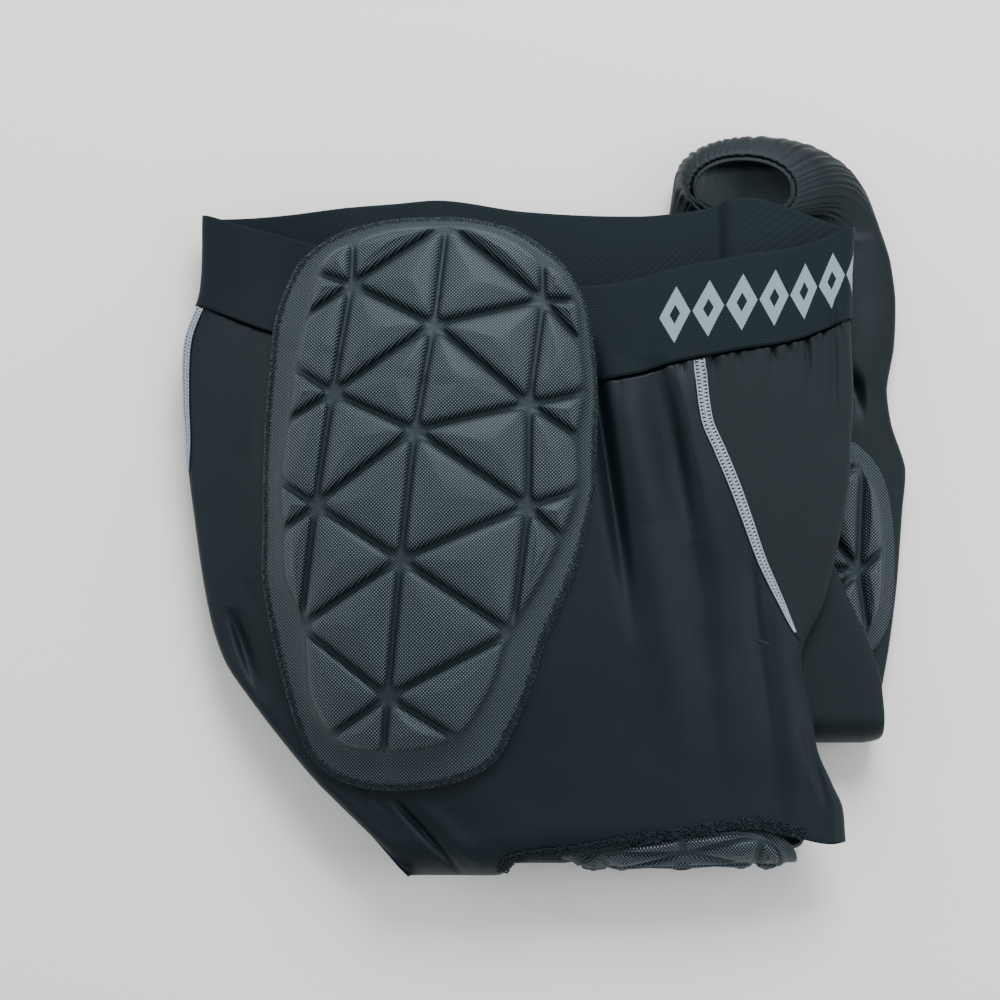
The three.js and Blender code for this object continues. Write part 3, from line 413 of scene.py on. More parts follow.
def make_mesh(name, points, faces, material, uv=None, values=None):
    mesh = bpy.data.meshes.new(name)
    mesh.from_pydata(np.asarray(points).reshape(-1, 3).tolist(), [], [list(map(int, f)) for f in faces])
    mesh.materials.append(material)
    if uv is not None:
        layer = mesh.uv_layers.new(name="cloth_map")
        corner = np.empty(len(mesh.loops), int)
        mesh.loops.foreach_get("vertex_index", corner)
        layer.data.foreach_set("uv", np.asarray(uv, float).reshape(-1, 2)[corner].ravel())
    for key, value in (values or {}).items():
        mesh.attributes.new(key, "FLOAT", "POINT").data.foreach_set("value", np.asarray(value, float).ravel())
    mesh.shade_smooth()
    made = bpy.data.objects.new(name, mesh)
    bpy.context.scene.collection.objects.link(made)
    return made


def grid_faces(rows, columns, closed, base=0, flip=False):
    spans = columns if closed else columns - 1
    j, i = np.meshgrid(np.arange(rows - 1), np.arange(spans), indexing="ij")
    a = base + j * columns + i
    b = base + j * columns + (i + 1) % columns
    quads = np.stack([a, b, b + columns, a + columns], -1).reshape(-1, 4)
    return quads[:, ::-1] if flip else quads


def sheet_mesh(name, outer, inner, closed, material):
    rows, columns = outer.shape[:2]
    count = rows * columns
    quads = [grid_faces(rows, columns, closed), grid_faces(rows, columns, closed, count, True)]
    spans = columns if closed else columns - 1
    i = np.arange(spans)
    nxt = (i + 1) % columns
    last = (rows - 1) * columns
    quads.append(np.stack([i, count + i, count + nxt, nxt], -1))
    quads.append(np.stack([last + i, last + nxt, count + last + nxt, count + last + i], -1))
    if not closed:
        j = np.arange(rows - 1) * columns
        quads.append(np.stack([j, j + columns, count + j + columns, count + j], -1))
        k = j + columns - 1
        quads.append(np.stack([k, count + k, count + k + columns, k + columns], -1))
    run = np.linalg.norm(np.diff(outer, axis=1, append=outer[:, :1]), axis=-1).cumsum(axis=1) / 1000
    fall = np.linalg.norm(np.diff(outer, axis=0, prepend=outer[:1]), axis=-1).cumsum(axis=0) / 1000
    uv = np.tile(np.stack([run, fall], -1).reshape(-1, 2), (2, 1))
    inside = np.repeat([0.0, 1.0], count)
    points = np.concatenate([outer.reshape(-1, 3), inner.reshape(-1, 3)])
    made = make_mesh(name, in_frame(points), np.concatenate(quads), material, uv, {"inside": inside})
    return outward_faces(made)


def outward_faces(made):
    shell = bmesh.new()
    shell.from_mesh(made.data)
    if shell.calc_volume(signed=True) < 0:
        bmesh.ops.reverse_faces(shell, faces=shell.faces)
    shell.to_mesh(made.data)
    shell.free()
    return made


# Smooth polyester and elastane interlock. Its fine wales show only as a faint upright grain, drawn
# at 1.1 mm so that it shows, and the knit has a soft sheen where it turns away.
def knit_material(name, dark, light, wale=0.0011, grain=0.12, painted_light_lining=None):
    material, tree, shader = new_material(name)
    place = add_node(tree, "ShaderNodeTexCoord", {}).outputs["Object"]
    clouds = {"Scale": 16.0, "Detail": 4.0, "Roughness": 0.6, "Vector": place}
    broad = add_node(tree, "ShaderNodeTexNoise", clouds)
    fleck = add_node(tree, "ShaderNodeTexNoise", {"Scale": 900.0, "Detail": 2.0, "Vector": place})
    wave = {"Scale": 2 * math.pi / (20 * wale), "Distortion": 0.6, "Detail": 1.0, "Detail Scale": 30.0}
    wave["Vector"] = place
    wales = add_node(tree, "ShaderNodeTexWave", wave, bands_direction="X").outputs["Fac"]
    tone = add_node(tree, "ShaderNodeMix", {"Factor": 0.35, "A": broad, "B": fleck})
    colour = add_node(tree, "ShaderNodeValToRGB", {"Fac": tone})
    for end, position, shade in zip(colour.color_ramp.elements, (0.3, 0.75), (dark, light)):
        end.position = position
        end.color = linear(shade)
    # An inside colour, used for the leg's lining, painted lighter as painted light falling into the opening.
    if painted_light_lining:
        inside = add_node(tree, "ShaderNodeAttribute", {}, attribute_name="inside").outputs["Fac"]
        mixed = {0: inside, 6: colour, 7: linear(painted_light_lining)}
        colour = add_node(tree, "ShaderNodeMix", mixed, data_type="RGBA").outputs[2]
    height = add_node(tree, "ShaderNodeMix", {"Factor": 0.4, "A": wales, "B": fleck})
    bump = add_node(tree, "ShaderNodeBump", {"Strength": grain, "Distance": 0.0004, "Height": height})
    finish = {"Roughness": 0.55, "Specular IOR Level": 0.28, "Specular Tint": linear("#d8ebf4")}
    sheen = {"Sheen Weight": 0.06, "Sheen Roughness": 0.4, "Sheen Tint": linear("#9fb0bd")}
    fill(tree, shader, {"Base Color": colour, "Normal": bump, **finish, **sheen})
    return material


side_knit = knit_material("smooth_interlock_knit", "#070d12", "#0b151b")
near_walls = panel_grid(
    lambda down: (beside(front_turn, down, 1), beside(back_turn, down, -1)),
    lambda turn: (cloth_start(turn), hem_down(turn)),
    np.linspace(0, 1, 200),
    np.linspace(0, 1, 200),
    -wall,
    wall,
)
near_side = sheet_mesh("near_side_cloth", *near_walls, False, side_knit)
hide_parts("near_side_panel")
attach(near_side, "root")

far_walls = panel_grid(
    lambda down: (beside(back_turn, down, 1), beside(lambda at: 1 - front_turn(at), down, -1)),
    lambda turn: (cloth_start(turn) + sewing_gap / body_length, hem_down(turn)),
    np.linspace(0, 1, 90),
    np.linspace(0, 1, 90),
    -wall,
    wall,
)
far_side = sheet_mesh("far_side_cloth", *far_walls, False, side_knit)
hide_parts("far_side_panel")
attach(far_side, "root")


# Front panel: knit with a close pattern of pin dots, which lets air through, folded round the front
# edge. It is sewn to the side panels and ends in a point at the crotch.
dot_pitch = 0.0032


def staggered_dots(tree, place, pitch, low, high):
    turns = (2 * math.pi / pitch,) * 3
    scaled = add_node(tree, "ShaderNodeVectorMath", {0: place, 1: turns}, operation="MULTIPLY")
    split = add_node(tree, "ShaderNodeSeparateXYZ", {0: scaled})
    wave_x = add_node(tree, "ShaderNodeMath", {0: split.outputs[0]}, operation="COSINE")
    wave_y = add_node(tree, "ShaderNodeMath", {0: split.outputs[1]}, operation="COSINE")
    crossed = add_node(tree, "ShaderNodeMath", {0: wave_x, 1: wave_y}, operation="MULTIPLY")
    return add_node(tree, "ShaderNodeMapRange", {0: crossed, 1: low, 2: high})


def pin_dot_material():
    material, tree, shader = new_material("pin_dot_perforated_knit")
    place = add_node(tree, "ShaderNodeTexCoord", {}).outputs["Object"]
    hole = staggered_dots(tree, place, dot_pitch, 0.45, 0.75)
    shades = {0: hole, 6: linear("#0e191e"), 7: linear("#0c171b")}
    colour = add_node(tree, "ShaderNodeMix", shades, data_type="RGBA").outputs[2]
    dents = {"Strength": 0.2, "Distance": 0.0004, "Height": hole}
    bump = add_node(tree, "ShaderNodeBump", dents, invert=True)
    finish = {"Roughness": 0.75, "Specular IOR Level": 0.25}
    sheen = {"Sheen Weight": 0.05, "Sheen Tint": linear("#9fb0bd")}
    fill(tree, shader, {"Base Color": colour, "Normal": bump, **finish, **sheen})
    return material


perforated = pin_dot_material()
front_tip = 0.685
front_walls = panel_grid(
    lambda down: (-beside(front_turn, down, -1), beside(front_turn, down, -1)),
    lambda turn: (cloth_start(turn), hem_down(turn)),
    np.linspace(0, 1, 210),
    np.linspace(0, front_tip, 130),
    -wall,
    wall,
)
front_cloth = sheet_mesh("front_cloth", *front_walls, False, perforated)
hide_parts("front_panel")
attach(front_cloth, "root")


# Waistband: one ring of smooth woven elastic, two millimetres thick and 42 mm high, folded flat.
# Its outside is plain and matt with fine level ribs, and its inside shows a slanting rib. The front
# carries a plain woven pattern: one row of light lozenges with dark hearts, 25 mm high.
lozenge_wide = 0.015
lozenge_middle = 0.0215
lozenge_half = 0.0135


def waist_material():
    material, tree, shader = new_material("woven_waist_elastic")
    place = add_node(tree, "ShaderNodeUVMap", {}, uv_map="cloth_map")
    inside = add_node(tree, "ShaderNodeAttribute", {}, attribute_name="inside").outputs["Fac"]
    ribs = []
    for pitch, wander, way in ((0.0013, 0.3, "Y"), (0.0018, 0.5, "DIAGONAL")):
        wave = {"Scale": 2 * math.pi / (20 * pitch), "Distortion": wander, "Vector": place}
        ribs.append(add_node(tree, "ShaderNodeTexWave", wave, bands_direction=way).outputs["Fac"])
    rib = add_node(tree, "ShaderNodeMix", {0: inside, 2: ribs[0], 3: ribs[1]})
    noise = add_node(tree, "ShaderNodeTexNoise", {"Scale": 600.0, "Vector": place})
    tone = add_node(tree, "ShaderNodeMix", {0: 0.35, 2: rib, 3: noise})
    ramp = add_node(tree, "ShaderNodeValToRGB", {"Fac": tone})
    for end, shade in zip(ramp.color_ramp.elements, ("#091216", "#0e191d")):
        end.color = linear(shade)

    split = add_node(tree, "ShaderNodeSeparateXYZ", {0: place})
    aside = add_node(tree, "ShaderNodeMath", {0: split, 1: lozenge_wide / 2}, operation="PINGPONG")
    aside = add_node(tree, "ShaderNodeMath", {0: aside, 1: 2 / lozenge_wide}, operation="MULTIPLY")
    level = add_node(tree, "ShaderNodeMath", {0: split.outputs[1], 1: lozenge_middle}, operation="SUBTRACT")
    level = add_node(tree, "ShaderNodeMath", {0: level}, operation="ABSOLUTE")
    outward = {0: level, 1: 1 / lozenge_half, 2: aside}
    outward = add_node(tree, "ShaderNodeMath", outward, operation="MULTIPLY_ADD")
    ring = add_node(tree, "ShaderNodeMath", {0: outward, 1: 0.63, 2: 0.31}, operation="COMPARE")
    row_half = 3.25 * lozenge_wide
    across = add_node(tree, "ShaderNodeMath", {0: split, 1: row_half, 2: row_half}, operation="COMPARE")
    there = add_node(tree, "ShaderNodeMath", {0: ring, 1: across}, operation="MULTIPLY")
    outside = add_node(tree, "ShaderNodeMath", {0: inside, 1: 0.5}, operation="LESS_THAN")
    shown = add_node(tree, "ShaderNodeMath", {0: there, 1: outside}, operation="MULTIPLY")
    shades = {0: shown, 6: ramp, 7: linear("#7d8c97")}
    colour = add_node(tree, "ShaderNodeMix", shades, data_type="RGBA").outputs[2]
    bump = add_node(tree, "ShaderNodeBump", {"Strength": 0.16, "Distance": 0.0004, "Height": rib})
    finish = {"Roughness": 0.7, "Specular IOR Level": 0.2, "Specular Tint": linear("#d8ebf4")}
    sheen = {"Sheen Weight": 0.04, "Sheen Tint": linear("#9fb0bd")}
    fill(tree, shader, {"Base Color": colour, "Normal": bump, **finish, **sheen})
    return material


waist_elastic = waist_material()
band_walls = panel_grid(
    lambda down: (0 * down, 0 * down + 1),
    lambda turn: (waist_down(turn), waist_down(turn) + band_height / body_length),
    np.linspace(0, 1, 421)[:-1],
    np.linspace(0, 1, 34),
    -wall,
    elastic_wall,
)
waistband = sheet_mesh("waistband_elastic", *band_walls, True, waist_elastic)
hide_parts("waistband")
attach(waistband, "root")


# Hip pads: moulded foam facets under a knit mesh, one pad on each hip, with a thin flange that is
# overlocked to the cloth. Grooves between the facets meet in stars and let the pad bend.
pad_floor = 6.5
knee_floor = 4.5
pad_flange = 2.0
pad_height = 12.0
pad_seat = 1.8
far_pad_seat = 2.2
hip_rim = [
    ["T0", 0.1, 0.933, 0.098, 0.978],
    ["t1", 0.298, 0.923, 0.309, 0.965],
    ["t2", 0.489, 0.885, 0.508, 0.934],
    ["C1a", 0.669, 0.811, 0.688, 0.87],
    ["t3", 0.788, 0.762, 0.814, 0.798],
    ["C1b", 0.882, 0.666, 0.92, 0.684],
    ["C1c", 0.904, 0.51, 0.978, 0.525],
    ["C2a", 0.926, 0.346, 0.999, 0.349],
    ["C2b", 0.882, 0.186, 0.991, 0.193],
    ["C3a", 0.886, 0.011, 0.977, 0.021],
    ["C3b", 0.785, -0.157, 0.922, -0.134],
    ["t4", 0.679, -0.287, 0.832, -0.297],
    ["C4", 0.487, -0.474, 0.685, -0.489],
    ["t5", 0.4, -0.626, 0.597, -0.655],
    ["t6", 0.302, -0.734, 0.493, -0.788],
    ["DR", 0.181, -0.823, 0.388, -0.893],
    ["t7", -0.015, -0.858, 0.157, -0.962],
    ["D0", -0.255, -0.87, -0.193, -0.988],
    ["t8", -0.444, -0.855, -0.489, -0.96],
    ["DL", -0.582, -0.811, -0.705, -0.866],
    ["t9", -0.708, -0.667, -0.836, -0.68],
    ["A4", -0.742, -0.445, -0.938, -0.458],
    ["t10", -0.86, -0.271, -1.0, -0.27],
    ["A3b", -0.867, -0.123, -1.0, -0.116],
    ["A3a", -0.889, 0.055, -1.0, 0.055],
    ["A2b", -0.843, 0.247, -0.991, 0.262],
    ["A2a", -0.807, 0.438, -0.966, 0.455],
    ["A1c", -0.739, 0.608, -0.935, 0.632],
    ["A1b", -0.684, 0.769, -0.839, 0.787],
    ["t11", -0.606, 0.837, -0.735, 0.859],
    ["A1a", -0.456, 0.881, -0.534, 0.927],
    ["t12", -0.211, 0.922, -0.245, 0.968],
]
hip_stars = [
    ["A1", -0.46, 0.715],
    ["B1", 0.03, 0.564],
    ["C1", 0.673, 0.665],
    ["A2", -0.561, 0.333],
    ["B2", -0.075, 0.195],
    ["C2", 0.587, 0.295],
    ["A3", -0.653, -0.047],
    ["B3", -0.152, -0.237],
    ["C3", 0.58, -0.054],
    ["B4", -0.227, -0.683],
]
hip_cells = [
    "A1 T0 B1", "T0 C1 B1", "A1 B1 A2", "B1 C1 C2", "A2 B1 B2", "B1 C2 B2", "A2 B2 A3", "B2 C2 C3",
    "A3 B2 B3", "B2 C3 B3", "A3 B3 A4", "B3 C3 C4", "A4 B3 B4", "B3 C4 B4", "A4 B4 DL t9", "B4 C4 t5 t6 DR",
    "B4 DL t8 D0", "B4 D0 t7 DR", "T0 t1 t2 C1a C1", "C1 C1a t3 C1b", "C1 C1b C1c", "C1 C1c C2a C2",
    "C2 C2a C2b", "C2 C2b C3a C3", "C3 C3a C3b", "C3 C3b t4 C4", "A4 t10 A3b A3", "A3 A3b A3a",
    "A3 A3a A2b A2", "A2 A2b A2a", "A2 A2a A1c A1", "A1 A1c A1b", "A1 A1b t11 A1a", "A1 A1a t12 T0",
]

# Height across a facet: distance in from its edge in millimetres, the share of the rise that it has
# reached beside a groove, and the height that it has reached at the rim of the foam. The crown is a
# table of shares in towards the middle and of millimetres above the last ring.
flange_top = 4.4
facet_profile = [
    (0.0, 0.0, flange_top), (0.9, 0.0, 6.4), (1.15, 0.1, 7.6), (1.4, 0.34, 8.8), (1.75, 0.57, 9.8),
    (2.3, 0.74, 10.6), (3.2, 0.86, 11.2), (4.6, 0.94, 11.6), (6.4, 1.0, 12.0),
]
smoothing_passes = (0, 8, 12, 14, 15, 16, 16, 17, 18)
crown_rings = ((0.72, 0.45), (0.42, 0.85), (0.16, 1.0))
crown_top = 1.02


def facet_pad(name, rim, stars, cells, half, floor, rise, step, place, material):
    nodes = {row[0]: np.array([row[1] * half[0], row[2] * half[1]]) for row in rim + stars}
    order = {row[0]: k for k, row in enumerate(rim)}
    around = np.array([nodes[row[0]] for row in rim])
    edge = np.array([[row[3] * half[0], row[4] * half[1]] for row in rim])

    def bend(loop, k, t):
        a, b, c, d = (loop[(k + j) % len(loop)] for j in (-1, 0, 1, 2))
        t = t[:, None]
        curve = 2 * b + (c - a) * t + (2 * a - 5 * b + 4 * c - d) * t**2 + (3 * b - a - 3 * c + d) * t**3
        return curve / 2

    points, heights, raised, faces = [], [], [], []

    def put(plan, height, lift):
        first = len(points)
        points.extend(plan)
        heights.extend(np.broadcast_to(height, len(plan)))
        raised.extend(np.broadcast_to(lift, len(plan)))
        return np.arange(first, first + len(plan))

    def ring_faces(low, high):
        after = np.roll(np.arange(len(low)), -1)
        faces.extend(np.stack([low, low[after], high[after], high], -1).tolist())

    # Each cell's edges are cut into steps, and an edge on the rim is bent to follow the outline.
    for cell in cells:
        names = cell.split()
        corners = np.array([nodes[n] for n in names])
        area = np.cross(corners, np.roll(corners, -1, axis=0)).sum() / 2
        if area < 0:
            names.reverse()
            corners = corners[::-1]
            area = -area
        count = len(names)
        parts, on_rim, warp, loose = [], [], [], []
        for k, (here, there) in enumerate(zip(names, names[1:] + names[:1])):
            a, b = nodes[here], nodes[there]
            apart = abs(order.get(here, -9) - order.get(there, 99))
            rim_edge = here in order and there in order and apart in (1, len(rim) - 1)
            total = max(3, round(float(np.linalg.norm(b - a)) / step))
            t = np.arange(total) / total
            parts.append(t)
            on_rim.append(np.full(total, float(rim_edge)))
            straight = a + (b - a) * t[:, None]
            if rim_edge:
                forward = (order[there] - order[here]) % len(rim) == 1
                start = order[here] if forward else order[there]
                warp.append(bend(around, start, t if forward else 1 - t) - straight)
            else:
                warp.append(np.zeros((total, 2)))
            near_rim = np.full(total, 99.0)
            if here in order:
                near_rim = np.minimum(near_rim, t * np.linalg.norm(b - a))
            if there in order:
                near_rim = np.minimum(near_rim, (1 - t) * np.linalg.norm(b - a))
            loose.append(np.where(rim_edge, 0.0, near_rim))
        edge_of = np.repeat(np.arange(count), [len(t) for t in parts])
        share = np.concatenate(parts)[:, None]
        rimness = np.concatenate(on_rim)
        corner_hit = (share[:, 0] == 0) & (np.roll(rimness, 1) > 0)
        rimness[corner_hit] = 1.0
        warp = np.concatenate(warp)
        loose = np.concatenate(loose)

        # Rings step in from the edges and up the profile, rounder the further in they lie.
        along = np.roll(corners, -1, axis=0) - corners
        inward = np.stack([-along[:, 1], along[:, 0]], -1) / np.linalg.norm(along, axis=1, keepdims=True)
        before = np.roll(inward, 1, axis=0)
        push = (before + inward) / (1 + (before * inward).sum(axis=1))[:, None]
        centre = corners.mean(axis=0)
        good = corners
        soft_rim = rimness.copy()
        for _ in range(3):
            soft_rim = (soft_rim + np.roll(soft_rim, 1) + np.roll(soft_rim, -1)) / 3
        rings = []
        limit = 0.86 * 2 * area / np.linalg.norm(along, axis=1).sum()
        for number, (depth, grown, rim_height) in enumerate(facet_profile):
            moved = corners + push * min(depth, limit)
            turned = (np.roll(moved, -1, axis=0) - moved) * along
            if (turned.sum(axis=1) > 0).all():
                good = moved
            else:
                good = centre + (good - centre) * 0.9
            plan = good[edge_of] + (np.roll(good, -1, axis=0)[edge_of] - good[edge_of]) * share
            plan = plan + warp * max(0.0, 1 - depth / 9)
            passes = smoothing_passes[number] * min(1.0, max(0.15, area / 450))
            for _ in range(round(passes)):
                plan = (2 * plan + np.roll(plan, 1, axis=0) + np.roll(plan, -1, axis=0)) / 4
            tall = floor + (rise - floor) * grown
            if number == 0:
                height = np.where(rimness > 0, flange_top, mix(flange_top, floor, smooth(loose / 3.0)))
            else:
                height = mix(tall, np.minimum(rim_height * rise / 12, rise), soft_rim)
            rings.append(put(plan, height, grown))

        # A low crown closes the cell on top, and a flat base closes it below.
        middle = plan.mean(axis=0)
        for inner, crown in crown_rings:
            rings.append(put(middle + (plan - middle) * inner, rise + crown * min(1.0, area / 500), 1.0))
        for low, high in zip(rings, rings[1:]):
            ring_faces(low, high)
        top = put([middle], rise + crown_top * min(1.0, area / 500), 1.0)[0]
        after = np.roll(rings[-1], -1)
        faces.extend([int(a), int(b), int(top)] for a, b in zip(rings[-1], after))
        base = put(np.array([points[k] for k in rings[0]]), 0.0, 0.0)
        root = put([middle], 0.0, 0.0)[0]
        faces.extend([int(b), int(a), int(root)] for a, b in zip(base, np.roll(base, -1)))

    # The flange is a lip that thins out from the rim of the foam to the sewn edge.
    rows = []
    for k in range(len(rim)):
        total = max(3, round(float(np.linalg.norm(around[(k + 1) % len(rim)] - around[k])) / step))
        t = np.arange(total) / total
        rows.append((bend(around, k, t), bend(edge, k, t)))
    inner_loop = np.concatenate([r[0] for r in rows])[::-1]
    outer_loop = np.concatenate([r[1] for r in rows])[::-1]
    flange = [(0.0, flange_top), (0.12, 3.6), (0.28, 2.8), (0.5, 2.1), (0.75, 1.7), (1.0, 1.3)]
    flange = flange + [(1.0, 0.0), (0.0, 0.0)]
    loops = [put(inner_loop + (outer_loop - inner_loop) * s, h, 0.3) for s, h in flange]
    for low, high in zip(loops, loops[1:]):
        ring_faces(high, low)
    plan = np.array(points)
    world_points = place(plan[:, 0], plan[:, 1], np.array(heights))
    made = make_mesh(name, in_frame(world_points), faces, material, plan / 1000, {"raised": raised})
    shell = bmesh.new()
    shell.from_mesh(made.data)
    bmesh.ops.remove_doubles(shell, verts=shell.verts, dist=2e-6)
    bmesh.ops.recalc_face_normals(shell, faces=shell.faces)
    shell.to_mesh(made.data)
    shell.free()
    outward_faces(made)
    made.data.shade_smooth()
    return made, outer_loop


def pad_stand(x, y, seat, waist):
    left, right = body_sides((waist_y - y) / body_length)
    across = np.clip((x - (left + right) / 2) / ((right - left) / 2), -1, 1)
    band_edge = waist_y - read(*waist, across) * body_length - band_height
    return mix(seat, seat + elastic_wall - wall, smooth((y - band_edge + 8) / 6))


def on_near_hip(px, py, height):
    x, y = pad_x + px, pad_y + py
    z = underside(x, y) + thickness(x, y) + mound(x, y) + pad_stand(x, y, pad_seat, near_waist)
    return np.stack([x, y, z + height], -1)


def under_far_hip(px, py, height):
    x, y = pad_x + px, pad_y + py
    return np.stack([x, y, underside(x, y) - pad_stand(x, y, far_pad_seat, far_waist) - height], -1)


# Air mesh over foam: light knots on a dark ground, staggered at 1.4 mm. The knots' light colour is partly
# their own and partly a painted glint, and painted shade dims them in the grooves and on the flange.
# The grooves are pressed flat, so they show the plain ground, a little greyer.
knot_pitch = 0.00144


def mesh_cover(name, ground, knot_and_glint, groove):
    material, tree, shader = new_material(name)
    place = add_node(tree, "ShaderNodeUVMap", {}, uv_map="cloth_map")
    raised = add_node(tree, "ShaderNodeAttribute", {}, attribute_name="raised").outputs["Fac"]
    dots = staggered_dots(tree, place, knot_pitch, 0.2, 0.65)
    # Painted shade: the knots' painted light falls off from the tops of the facets to the grooves and the
    # flange.
    painted_knot_light = add_node(tree, "ShaderNodeMapRange", {0: raised, 1: 0.0, 2: 0.6, 3: 0.3})
    pressed = add_node(tree, "ShaderNodeMapRange", {0: raised, 1: 0.0, 2: 0.5, 3: 1.0, 4: 0.0})
    shown = add_node(tree, "ShaderNodeMath", {0: dots, 1: painted_knot_light}, operation="MULTIPLY")
    broad = add_node(tree, "ShaderNodeTexNoise", {"Scale": 30.0, "Detail": 3.0, "Vector": place})
    grounds = {0: pressed, 6: linear(ground), 7: linear(groove)}
    base = add_node(tree, "ShaderNodeMix", grounds, data_type="RGBA").outputs[2]
    clouds = {0: broad, 6: base, 7: linear("#0d1114")}
    worn = add_node(tree, "ShaderNodeMix", clouds, data_type="RGBA").outputs[2]
    softened = add_node(tree, "ShaderNodeMix", {0: 0.75, 6: worn, 7: base}, data_type="RGBA").outputs[2]
    knotted = {0: shown, 6: softened, 7: linear(knot_and_glint)}
    colour = add_node(tree, "ShaderNodeMix", knotted, data_type="RGBA").outputs[2]
    bump = add_node(tree, "ShaderNodeBump", {"Strength": 0.5, "Distance": 0.0004, "Height": shown})
    finish = {"Roughness": 0.5, "Specular IOR Level": 0.3, "Specular Tint": linear("#d8ebf4")}
    sheen = {"Sheen Weight": 0.05, "Sheen Tint": linear("#a9b7c2")}
    fill(tree, shader, {"Base Color": colour, "Normal": bump, **finish, **sheen})
    return material


# The light knot colour is partly the knots' own and partly a painted glint.
pad_cover = mesh_cover("air_mesh_cover", "#090e11", "#637279", "#1a2327")
pad_half = (pad_half_x, pad_half_y)
hip_pads = {"near": (on_near_hip, 1.2), "far": (under_far_hip, 2.4)}
hip_edges = {}
for side, (carrier, step) in hip_pads.items():
    name = f"hip_pad_{side}_foam"
    hip_pad, hip_edges[side] = facet_pad(
        name, hip_rim, hip_stars, hip_cells, pad_half, pad_floor, pad_height, step, carrier, pad_cover
    )
    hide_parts(f"hip_pad_{side}")
    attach(hip_pad, "root")


# Knee pads: the same moulded foam and mesh, with four stars and a rounded outline. The far one lies
# between the folded leg's layers, and the near one bends round the fold under the hem.
knee_half = (44.0, 54.0)
knee_base = 13.4
knee_rise = 10.5
knee_stars = [["K1", 0.61, -0.18], ["K2", -0.55, -0.1], ["K3", 0.02, 0.48], ["K4", 0.02, -0.58]]
knee_cells = [
    "K1 K3 K2", "K1 K2 K4", "K1 R02 K3", "K1 R00 R01 R02", "K1 R14 R15 R00", "K1 K4 R14", "K3 R02 R03 R04",
    "K3 R04 R05 R06", "K2 K3 R06", "K2 R06 R07 R08", "K2 R08 R09 R10", "K2 R10 K4", "K4 R10 R11 R12",
    "K4 R12 R13 R14",
]
knee_rim = []
for k in range(16):
    c, s = math.cos(k * math.pi / 8), math.sin(k * math.pi / 8)
    ex, ey = math.copysign(abs(c) ** 0.7, c), math.copysign(abs(s) ** 0.7, s)
    knee_rim.append([f"R{k:02d}", 0.87 * ex, 0.89 * ey, ex, ey])
knee_rim.reverse()
knee_aside = 3.12
knee_along = 83.956
far_leg_x = body_x + 0.794 * body_width / 2
far_fold_y = waist_y - 0.806 * body_length
knee_x = far_leg_x + knee_aside
knee_y = far_fold_y + knee_along


def on_far_knee(px, py, height):
    return np.stack([knee_x + px, knee_y + py, knee_base + height], -1)


knee_shape = (knee_rim, knee_stars, knee_cells)
knee_step = 1.2
far_knee, _ = facet_pad(
    "knee_pad_far_foam", *knee_shape, knee_half, knee_floor, knee_rise, knee_step, on_far_knee, pad_cover
)
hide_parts("knee_pad_far")
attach(far_knee, "root")

near_knee_wrap = 2.2
near_knee_half = (50.0, curl_radius * near_knee_wrap / 2)
near_knee_x = body_x + 0.451 * body_width / 2
near_knee_rise = 6.5
knee_pad_standoff = 1.2


def round_near_knee(px, py, height):
    x = near_knee_x + px
    left, right = body_sides(0.93)
    across = (x - (left + right) / 2) / ((right - left) / 2)
    turn = np.arccos(across) / (2 * math.pi)
    start = read(knee_across, knee_down, across)
    hem = ((hem_down(turn) - start) * body_length - 2) / curl_radius
    angle = mix(near_knee_wrap, hem, (py / near_knee_half[1] + 1) / 2)
    radius = curl_radius - wall - pad_flange - knee_pad_standoff + height
    top = body_point(turn, start, 0)[..., 2]
    y = waist_y - start * body_length - radius * np.sin(angle)
    return np.stack([x, y, top - curl_radius + radius * np.cos(angle)], -1)


near_knee, _ = facet_pad(
    "knee_pad_near_foam", *knee_shape, near_knee_half, knee_floor, near_knee_rise, knee_step,
    round_near_knee, pad_cover,
)
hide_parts("knee_pad_near")
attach(near_knee, "root")


# Far leg: a tube of the same knit. It comes down inside the body, folds back at the knee, lies along
# the floor and turns up at its end, where an elastic gathers it into many small pleats.
leg_width = 104
leg_reach = 0.9456 * body_length
leg_height = 13
cuff_height = 26
pad_clearance = 0.7
cloth_clearance = 0.4
thigh_height = 3.2
thigh_floor = knee_base + knee_rise + pad_clearance + cloth_clearance
thigh_top = thigh_floor + thigh_height

# Each section: the inner and the outer edge along and up, the left and right sides as shares of the
# width, how round it is and how far it is gathered.
sections = []
for along, left, right in ((0.3, -0.37, 0.15), (0.23, -0.4, 0.22), (0.16, -0.41, 0.3), (0.1, -0.413, 0.35)):
    y = far_fold_y + along * leg_reach
    sections.append([y, thigh_floor, y, thigh_top, left, right, 0.0, 0.0])
inner_radius = (thigh_floor - leg_height) / 2
fold_y = far_fold_y + inner_radius + (thigh_height + leg_height) / 2
fold_z = leg_height + inner_radius
for k in range(6):
    outer_radius = inner_radius + mix(thigh_height, leg_height, k / 5)
    s, c = math.sin(math.pi * k / 5), math.cos(math.pi * k / 5)
    inner_edge = [fold_y - inner_radius * s, fold_z + inner_radius * c]
    outer_edge = [fold_y - outer_radius * s, fold_z + outer_radius * c]
    sections.append(inner_edge + outer_edge + [-0.413, mix(0.362, 0.372, k / 5), 0.0, 0.0])
leg_rows = [
    (0.15, -0.43, 0.427), (0.25, -0.45, 0.47), (0.37, -0.48, 0.505), (0.44, -0.48, 0.525),
    (0.51, -0.48, 0.472), (0.57, -0.48, 0.457), (0.64, -0.48, 0.495), (0.72, -0.48, 0.509),
    (0.79, -0.48, 0.49),
]
for along, left, right in leg_rows:
    y = far_fold_y + along * leg_reach
    sections.append([y, leg_height, y, 0.0, left, right, 0.0, 0.0])
